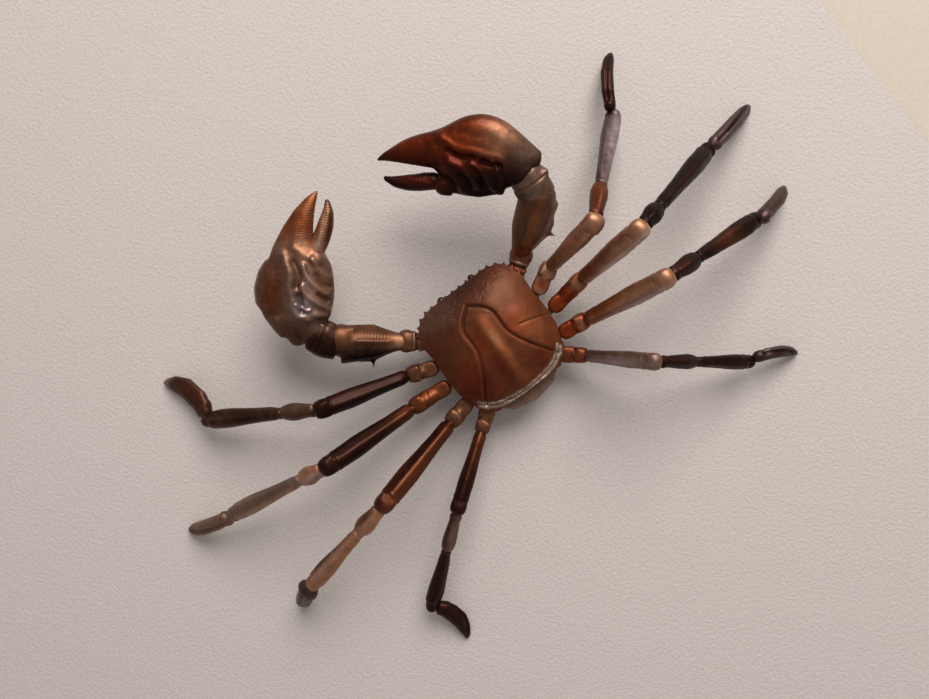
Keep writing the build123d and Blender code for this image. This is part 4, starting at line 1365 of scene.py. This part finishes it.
def leg_palettes(side: str, number: int) -> dict[str, Palette]:
    """The tones of one leg; across is to the front on the right side, to the rear on the left.

    Args:
        side: left or right.
        number: 1 for the foremost leg.

    Returns:
        A palette for each segment, written here in the order of LEG_PARTS.
    """
    dark_tip = Patch(NIGHT, (1.0,), (0.14,))
    grooved = Palette(SLATE, LILAC, [Patch(NIGHT, (0.55, 0.0), (0.6, 0.5)), dark_tip])
    sets = {
        ("right", 1): (
            Palette(TAN, BONE, [Patch(RUSSET, (0.2,), (0.3,), 0.8)]),
            Palette(TAN, BONE, [Patch(BRONZE, (0.5, -2.4), (0.9, 1.0), 0.6)]),
            Palette(CHESTNUT, AMBER, [Patch(UMBER, (0.1,), (0.3,), 0.6)]),
            # The LILAC patch on one flank of the propodus is painted light, on the face turned to the
            # lamp.
            Palette(UMBER, LILAC, [Patch(LILAC, (0.5, -2.3), (0.7, 1.3))]),
            Palette(UMBER, CHESTNUT, [Patch(NIGHT, (1.0,), (0.3,))]),
        ),
        ("right", 2): (
            Palette(RUSSET, AMBER, [Patch(TAN, (0.9,), (0.2,), 0.7)]),
            # The BONE patch near the knee of the merus is a painted highlight.
            Palette(TAN, BONE, [Patch(AMBER, (0.2,), (0.35,)), Patch(BONE, (0.7, -1.6), (0.4, 0.7))]),
            Palette(NIGHT, COCOA),
            Palette(NIGHT, CHESTNUT),
            grooved,
        ),
        ("right", 3): (
            Palette(RUSSET, AMBER, [Patch(TAN, (0.9,), (0.2,), 0.6)]),
            # The LILAC patch near the knee of the merus is a painted highlight.
            Palette(TAN, BONE, [Patch(AMBER, (0.2,), (0.35,)), Patch(LILAC, (0.7, -1.8), (0.4, 0.6))]),
            Palette(NIGHT, COCOA, [Patch(COCOA, (0.4,), (0.4,), 0.5)]),
            Palette(NIGHT, CHESTNUT, [Patch(CHESTNUT, (0.45,), (0.2,), 0.5)]),
            grooved,
        ),
        ("right", 4): (
            Palette(CHESTNUT, AMBER),
            # The LILAC patch on the merus is a painted highlight.
            Palette(MOUSE, LILAC, [Patch(LILAC, (0.6, -0.8), (0.4, 0.8), 0.6)]),
            Palette(UMBER, COCOA),
            Palette(UMBER, COCOA),
            Palette(UMBER, LILAC, [Patch(SLATE, (0.3, 1.2), (0.5, 0.8)), dark_tip]),
        ),
        ("left", 1): (
            Palette(BRONZE, TAN),
            # The NIGHT patch on the merus and the UMBER patch on the propodus are painted shade on the
            # faces turned from the lamp; the MOUSE patch on the carpus is painted light on the face
            # turned to it.
            Palette(UMBER, COCOA, [Patch(NIGHT, (0.5, 1.4), (0.9, 1.4))]),
            Palette(COCOA, MOUSE, [Patch(MOUSE, (0.5, -1.4), (0.6, 1.0), 0.6)]),
            Palette(BRONZE, TAN, [Patch(UMBER, (0.5, 1.6), (0.9, 1.5))]),
            Palette(COCOA, MOUSE, [Patch(LILAC, (0.95,), (0.1,), 0.5)]),
        ),
        ("left", 2): (
            Palette(CHESTNUT, AMBER, [Patch(AMBER, (0.4,), (0.3,), 0.5)]),
            Palette(UMBER, CHESTNUT, [Patch(CHESTNUT, (0.0,), (0.25,), 0.8)]),
            # The LILAC patch on the carpus is a painted highlight.
            Palette(TAN, BONE, [Patch(LILAC, (0.5, 0.6), (0.3, 0.8), 0.7)]),
            Palette(MOUSE, BONE, [Patch(TAN, (0.5, 0.3), (0.6, 0.8), 0.7)]),
            Palette(MOUSE, TAN, [Patch(COCOA, (0.6, 0.0), (0.4, 0.6), 0.8), dark_tip]),
        ),
        ("left", 3): (
            Palette(BRONZE, TAN),
            Palette(CHESTNUT, AMBER, [Patch(UMBER, (0.5, -1.2), (0.9, 1.3))]),
            Palette(TAN, BONE, [Patch(BRONZE, (0.5, -1.6), (0.6, 0.9))]),
            Palette(TAN, BONE, [Patch(COCOA, (0.6, -2.0), (0.7, 0.9))]),
            Palette(SLATE, LILAC, [Patch(UMBER, (0.6, 0.0), (0.5, 1.0)), dark_tip]),
        ),
        ("left", 4): (
            Palette(BRONZE, TAN),
            Palette(UMBER, CHESTNUT, [Patch(CHESTNUT, (0.2,), (0.3,), 0.7)]),
            Palette(COCOA, LILAC, [Patch(MOUSE, (0.6, 1.0), (0.6, 0.8))]),
            Palette(UMBER, MOUSE, [Patch(MOUSE, (0.3, 1.2), (0.3, 0.8), 0.6)]),
            Palette(UMBER, CHESTNUT, [dark_tip]),
        ),
    }
    return dict(zip(LEG_PARTS, sets[side, number]))


def claw_palettes(side: str) -> dict[str, Palette]:
    """The tones of one claw; across is outward.

    Args:
        side: left or right.

    Returns:
        A palette for each piece, written here in the order of CLAW_PARTS.
    """
    left = (
        Palette(BRONZE, BONE, [Patch(AMBER, (1.2,), (1.0,), 0.6)]),
        Palette(
            BRONZE,
            TAN,
            # The NIGHT patch is painted shade on the lower face of the merus, turned from the lamp.
            [Patch(NIGHT, (10.0, 4.4), (13.0, 4.0)), Patch(TAN, (2.0, 0.0), (3.0, 2.0))],
        ),
        Palette(UMBER, MOUSE, [Patch(MOUSE, (5.0, -3.0), (3.0, 2.0), 0.5)]),
        Palette(
            MOUSE,
            BONE,
            [
                Patch(CHESTNUT, (9.0, 10.0), (9.0, 4.4)),
                Patch(COCOA, (-1.0, 3.0), (4.0, 5.0)),
                Patch(TAN, (12.0, 0.0), (5.0, 3.4)),
                Patch(AMBER, (27.0,), (5.0,)),
                Patch(AMBER, (32.0,), (3.0,)),
                Patch(TAN, (20.5, 3.0), (2.6, 4.0)),
                Patch(EMBER, (29.0, 6.4), (7.0, 1.6), 0.7),
                Patch(UMBER, (36.2,), (1.5,)),
                # The two LILAC patches are painted highlights on the chased ridges.
                Patch(LILAC, (6.8, 2.2), (2.4, 2.4)),
                Patch(LILAC, (12.6, 1.0), (2.0, 1.4), 0.6),
            ],
        ),
        Palette(
            TAN,
            BONE,
            [
                Patch(COCOA, (8.0, -2.4), (9.0, 0.9)),
                Patch(BONE, (3.0, 0.0), (2.0, 0.9), 0.6),
                Patch(UMBER, (15.4,), (1.6,)),
            ],
        ),
    )
    right = (
        Palette(BRONZE, BONE, [Patch(RUSSET, (1.0,), (1.2,))]),
        Palette(
            BRONZE,
            TAN,
            [
                Patch(MOUSE, (9.0, 4.4), (12.0, 2.6)),
                Patch(AMBER, (9.0, 0.9), (10.0, 0.8)),
                Patch(RUSSET, (1.0,), (2.4,), 0.7),
            ],
        ),
        Palette(MOUSE, TAN, [Patch(UMBER, (4.0, -4.0), (5.0, 2.6))]),
        Palette(
            UMBER,
            CHESTNUT,
            [
                Patch(RUSSET, (12.0, 8.0), (9.0, 4.6)),
                Patch(EMBER, (14.0, 3.5), (6.0, 2.2)),
                Patch(TAN, (4.5, 9.0), (4.5, 3.6)),
                Patch(MOUSE, (-1.0, 6.0), (3.6, 3.4)),
                # The NIGHT patch is painted shade on the half of the palm turned from the lamp.
                Patch(NIGHT, (9.0, -3.4), (10.0, 3.4), 0.6),
                Patch(EMBER, (27.0,), (7.0,)),
                Patch(RUSSET, (27.0, 5.0), (6.0, 1.6), 0.7),
                Patch(UMBER, (36.2,), (2.0,)),
            ],
        ),
        Palette(
            UMBER,
            EMBER,
            [Patch(EMBER, (6.0, -0.4), (6.0, 1.4), 0.7), Patch(NIGHT, (16.0,), (3.0,))],
        ),
    )
    return dict(zip(CLAW_PARTS, left if side == "left" else right))


def claw_forms(side: str) -> dict[str, tuple[Station, ...]]:
    """The stations of one claw's pieces: place along, inner edge, outer edge and half thickness.

    Args:
        side: left or right.

    Returns:
        Stations for each piece; those of the merus and the carpus stand at shares of its length.
    """
    merus = {
        "left": (
            (0.0, -2.0, 2.2, 2.2),
            (0.22, -2.4, 3.0, 2.7),
            (0.5, -3.2, 4.8, 3.4),
            (1.0, -3.7, 6.2, 3.9),
        ),
        "right": (
            (0.0, -2.6, 2.2, 2.3),
            (0.2, -3.4, 2.6, 2.8),
            (0.5, -4.6, 4.6, 3.5),
            (1.0, -4.9, 5.2, 3.9),
        ),
    }
    carpus = {
        "left": ((0.0, -3.2, 5.4, 3.7), (0.5, -3.8, 6.2, 4.1), (1.0, -3.4, 5.2, 3.7)),
        "right": ((0.0, -4.2, 4.8, 3.7), (0.5, -4.4, 5.0, 4.1), (1.0, -3.8, 4.4, 3.7)),
    }
    return {
        "ischium": ((0.8, -2.0, 2.0, 2.1), (2.2, -2.4, 2.4, 2.4), (4.4, -2.4, 2.4, 2.4)),
        "merus": merus[side],
        "carpus": carpus[side],
        "palm": (
            (-4.4, 2.4, 4.8, 1.6),
            (-1.6, -1.8, 7.0, 3.1),
            (2.0, -4.0, 9.9, 4.1),
            (5.5, -5.0, 12.2, 4.7),
            (10.0, -5.4, 13.1, 4.9),
            (14.8, -4.7, 12.0, 4.6),
            (18.7, -3.6, 9.4, 3.8),
            (20.6, -0.6, 8.5, 3.4),
            (22.5, 0.9, 7.9, 3.1),
            (26.0, 0.9, 6.9, 2.6),
            (30.0, 0.8, 4.9, 2.0),
            (33.0, 0.4, 2.4, 1.2),
            (35.0, 0.0, 0.6, 0.4),
        ),
        "finger": (
            (-0.5, -1.6, 1.6, 2.0),
            (2.0, -2.1, 2.0, 2.1),
            (6.0, -2.1, 1.9, 1.9),
            (10.0, -1.5, 1.4, 1.4),
            (14.2, -0.5, 0.4, 0.5),
        ),
    }


def shell_palette() -> Palette:
    """The tones of the shell, in its own coordinates: across to the left, then to the rear."""
    return Palette(
        CHESTNUT,
        AMBER,
        [
            Patch(COCOA, (0.0, -15.0), (20.0, 7.0)),
            Patch(MOUSE, (9.0, -14.0), (6.0, 4.0), 0.5),
            Patch(BRONZE, (-9.0, -8.0), (5.0, 4.0), 0.6),
            Patch(EMBER, (9.6, 7.4), (4.6, 5.0)),
            Patch(RUSSET, (11.0, 3.0), (3.0, 3.0), 0.6),
            Patch(RUSSET, (-7.4, -0.6), (2.6, 3.4), 0.6),
            Patch(AMBER, (-11.0, 1.5), (3.0, 4.0), 0.45),
            Patch(AMBER, (-1.2, 2.0), (1.4, 8.0), 0.9),
            Patch(TAN, (-1.0, 0.0), (1.0, 2.4), 0.6),
            Patch(RUSSET, (2.8, -1.0), (1.8, 3.0), 0.9),
            Patch(EMBER, (2.0, 7.0), (1.6, 5.0), 0.8),
            Patch(EMBER, (-7.0, 10.0), (4.0, 3.0), 0.6),
        ],
    )


def make_leg(frame: Frame, side: str, number: int) -> Leg:
    """A leg with its own tones, girth, breadth of blade and plumpness.

    Args:
        frame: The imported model.
        side: left or right.
        number: 1 for the foremost leg.

    Returns:
        The leg.
    """
    girths = (0.97, 1.0, 1.0, 0.86)
    blades = {
        "left": ((1.15, 1.75), (1.3, 1.1), (1.5, 1.3), (1.15, 1.6)),
        "right": ((1.0, 0.9), (1.15, 1.0), (1.15, 1.0), (1.1, 1.0)),
    }
    plumps = {"left": (0.5, 0.5, 0.5, 0.35), "right": (0.35, 0.35, 0.35, 0.35)}
    sizes = (values[number - 1] for values in (girths, blades[side], plumps[side]))
    seed = number * 5 + (side == "left")
    return Leg(frame, side, number, leg_palettes(side, number), *sizes, seed=seed)


def main() -> None:
    """Build the crab's sub-assemblies and the studio in order."""
    logging.basicConfig(level=logging.INFO, format="%(message)s")
    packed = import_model()
    frame = Frame.read(packed)
    finger_leans = {"left": 0.2, "right": 1.3}
    Shell(shell_palette()).build()
    Underside(Palette(MOUSE, LILAC)).build()
    Eyes(Palette(NIGHT, UMBER)).build()
    for side in SIDES:
        Claw(frame, side, claw_palettes(side), claw_forms(side), finger_leans[side]).build()
        for number in range(1, 5):
            make_leg(frame, side, number).build()
    Studio().build()
    bpy.context.scene.view_settings.view_transform = "Standard"


if __name__ == "__main__":
    main()
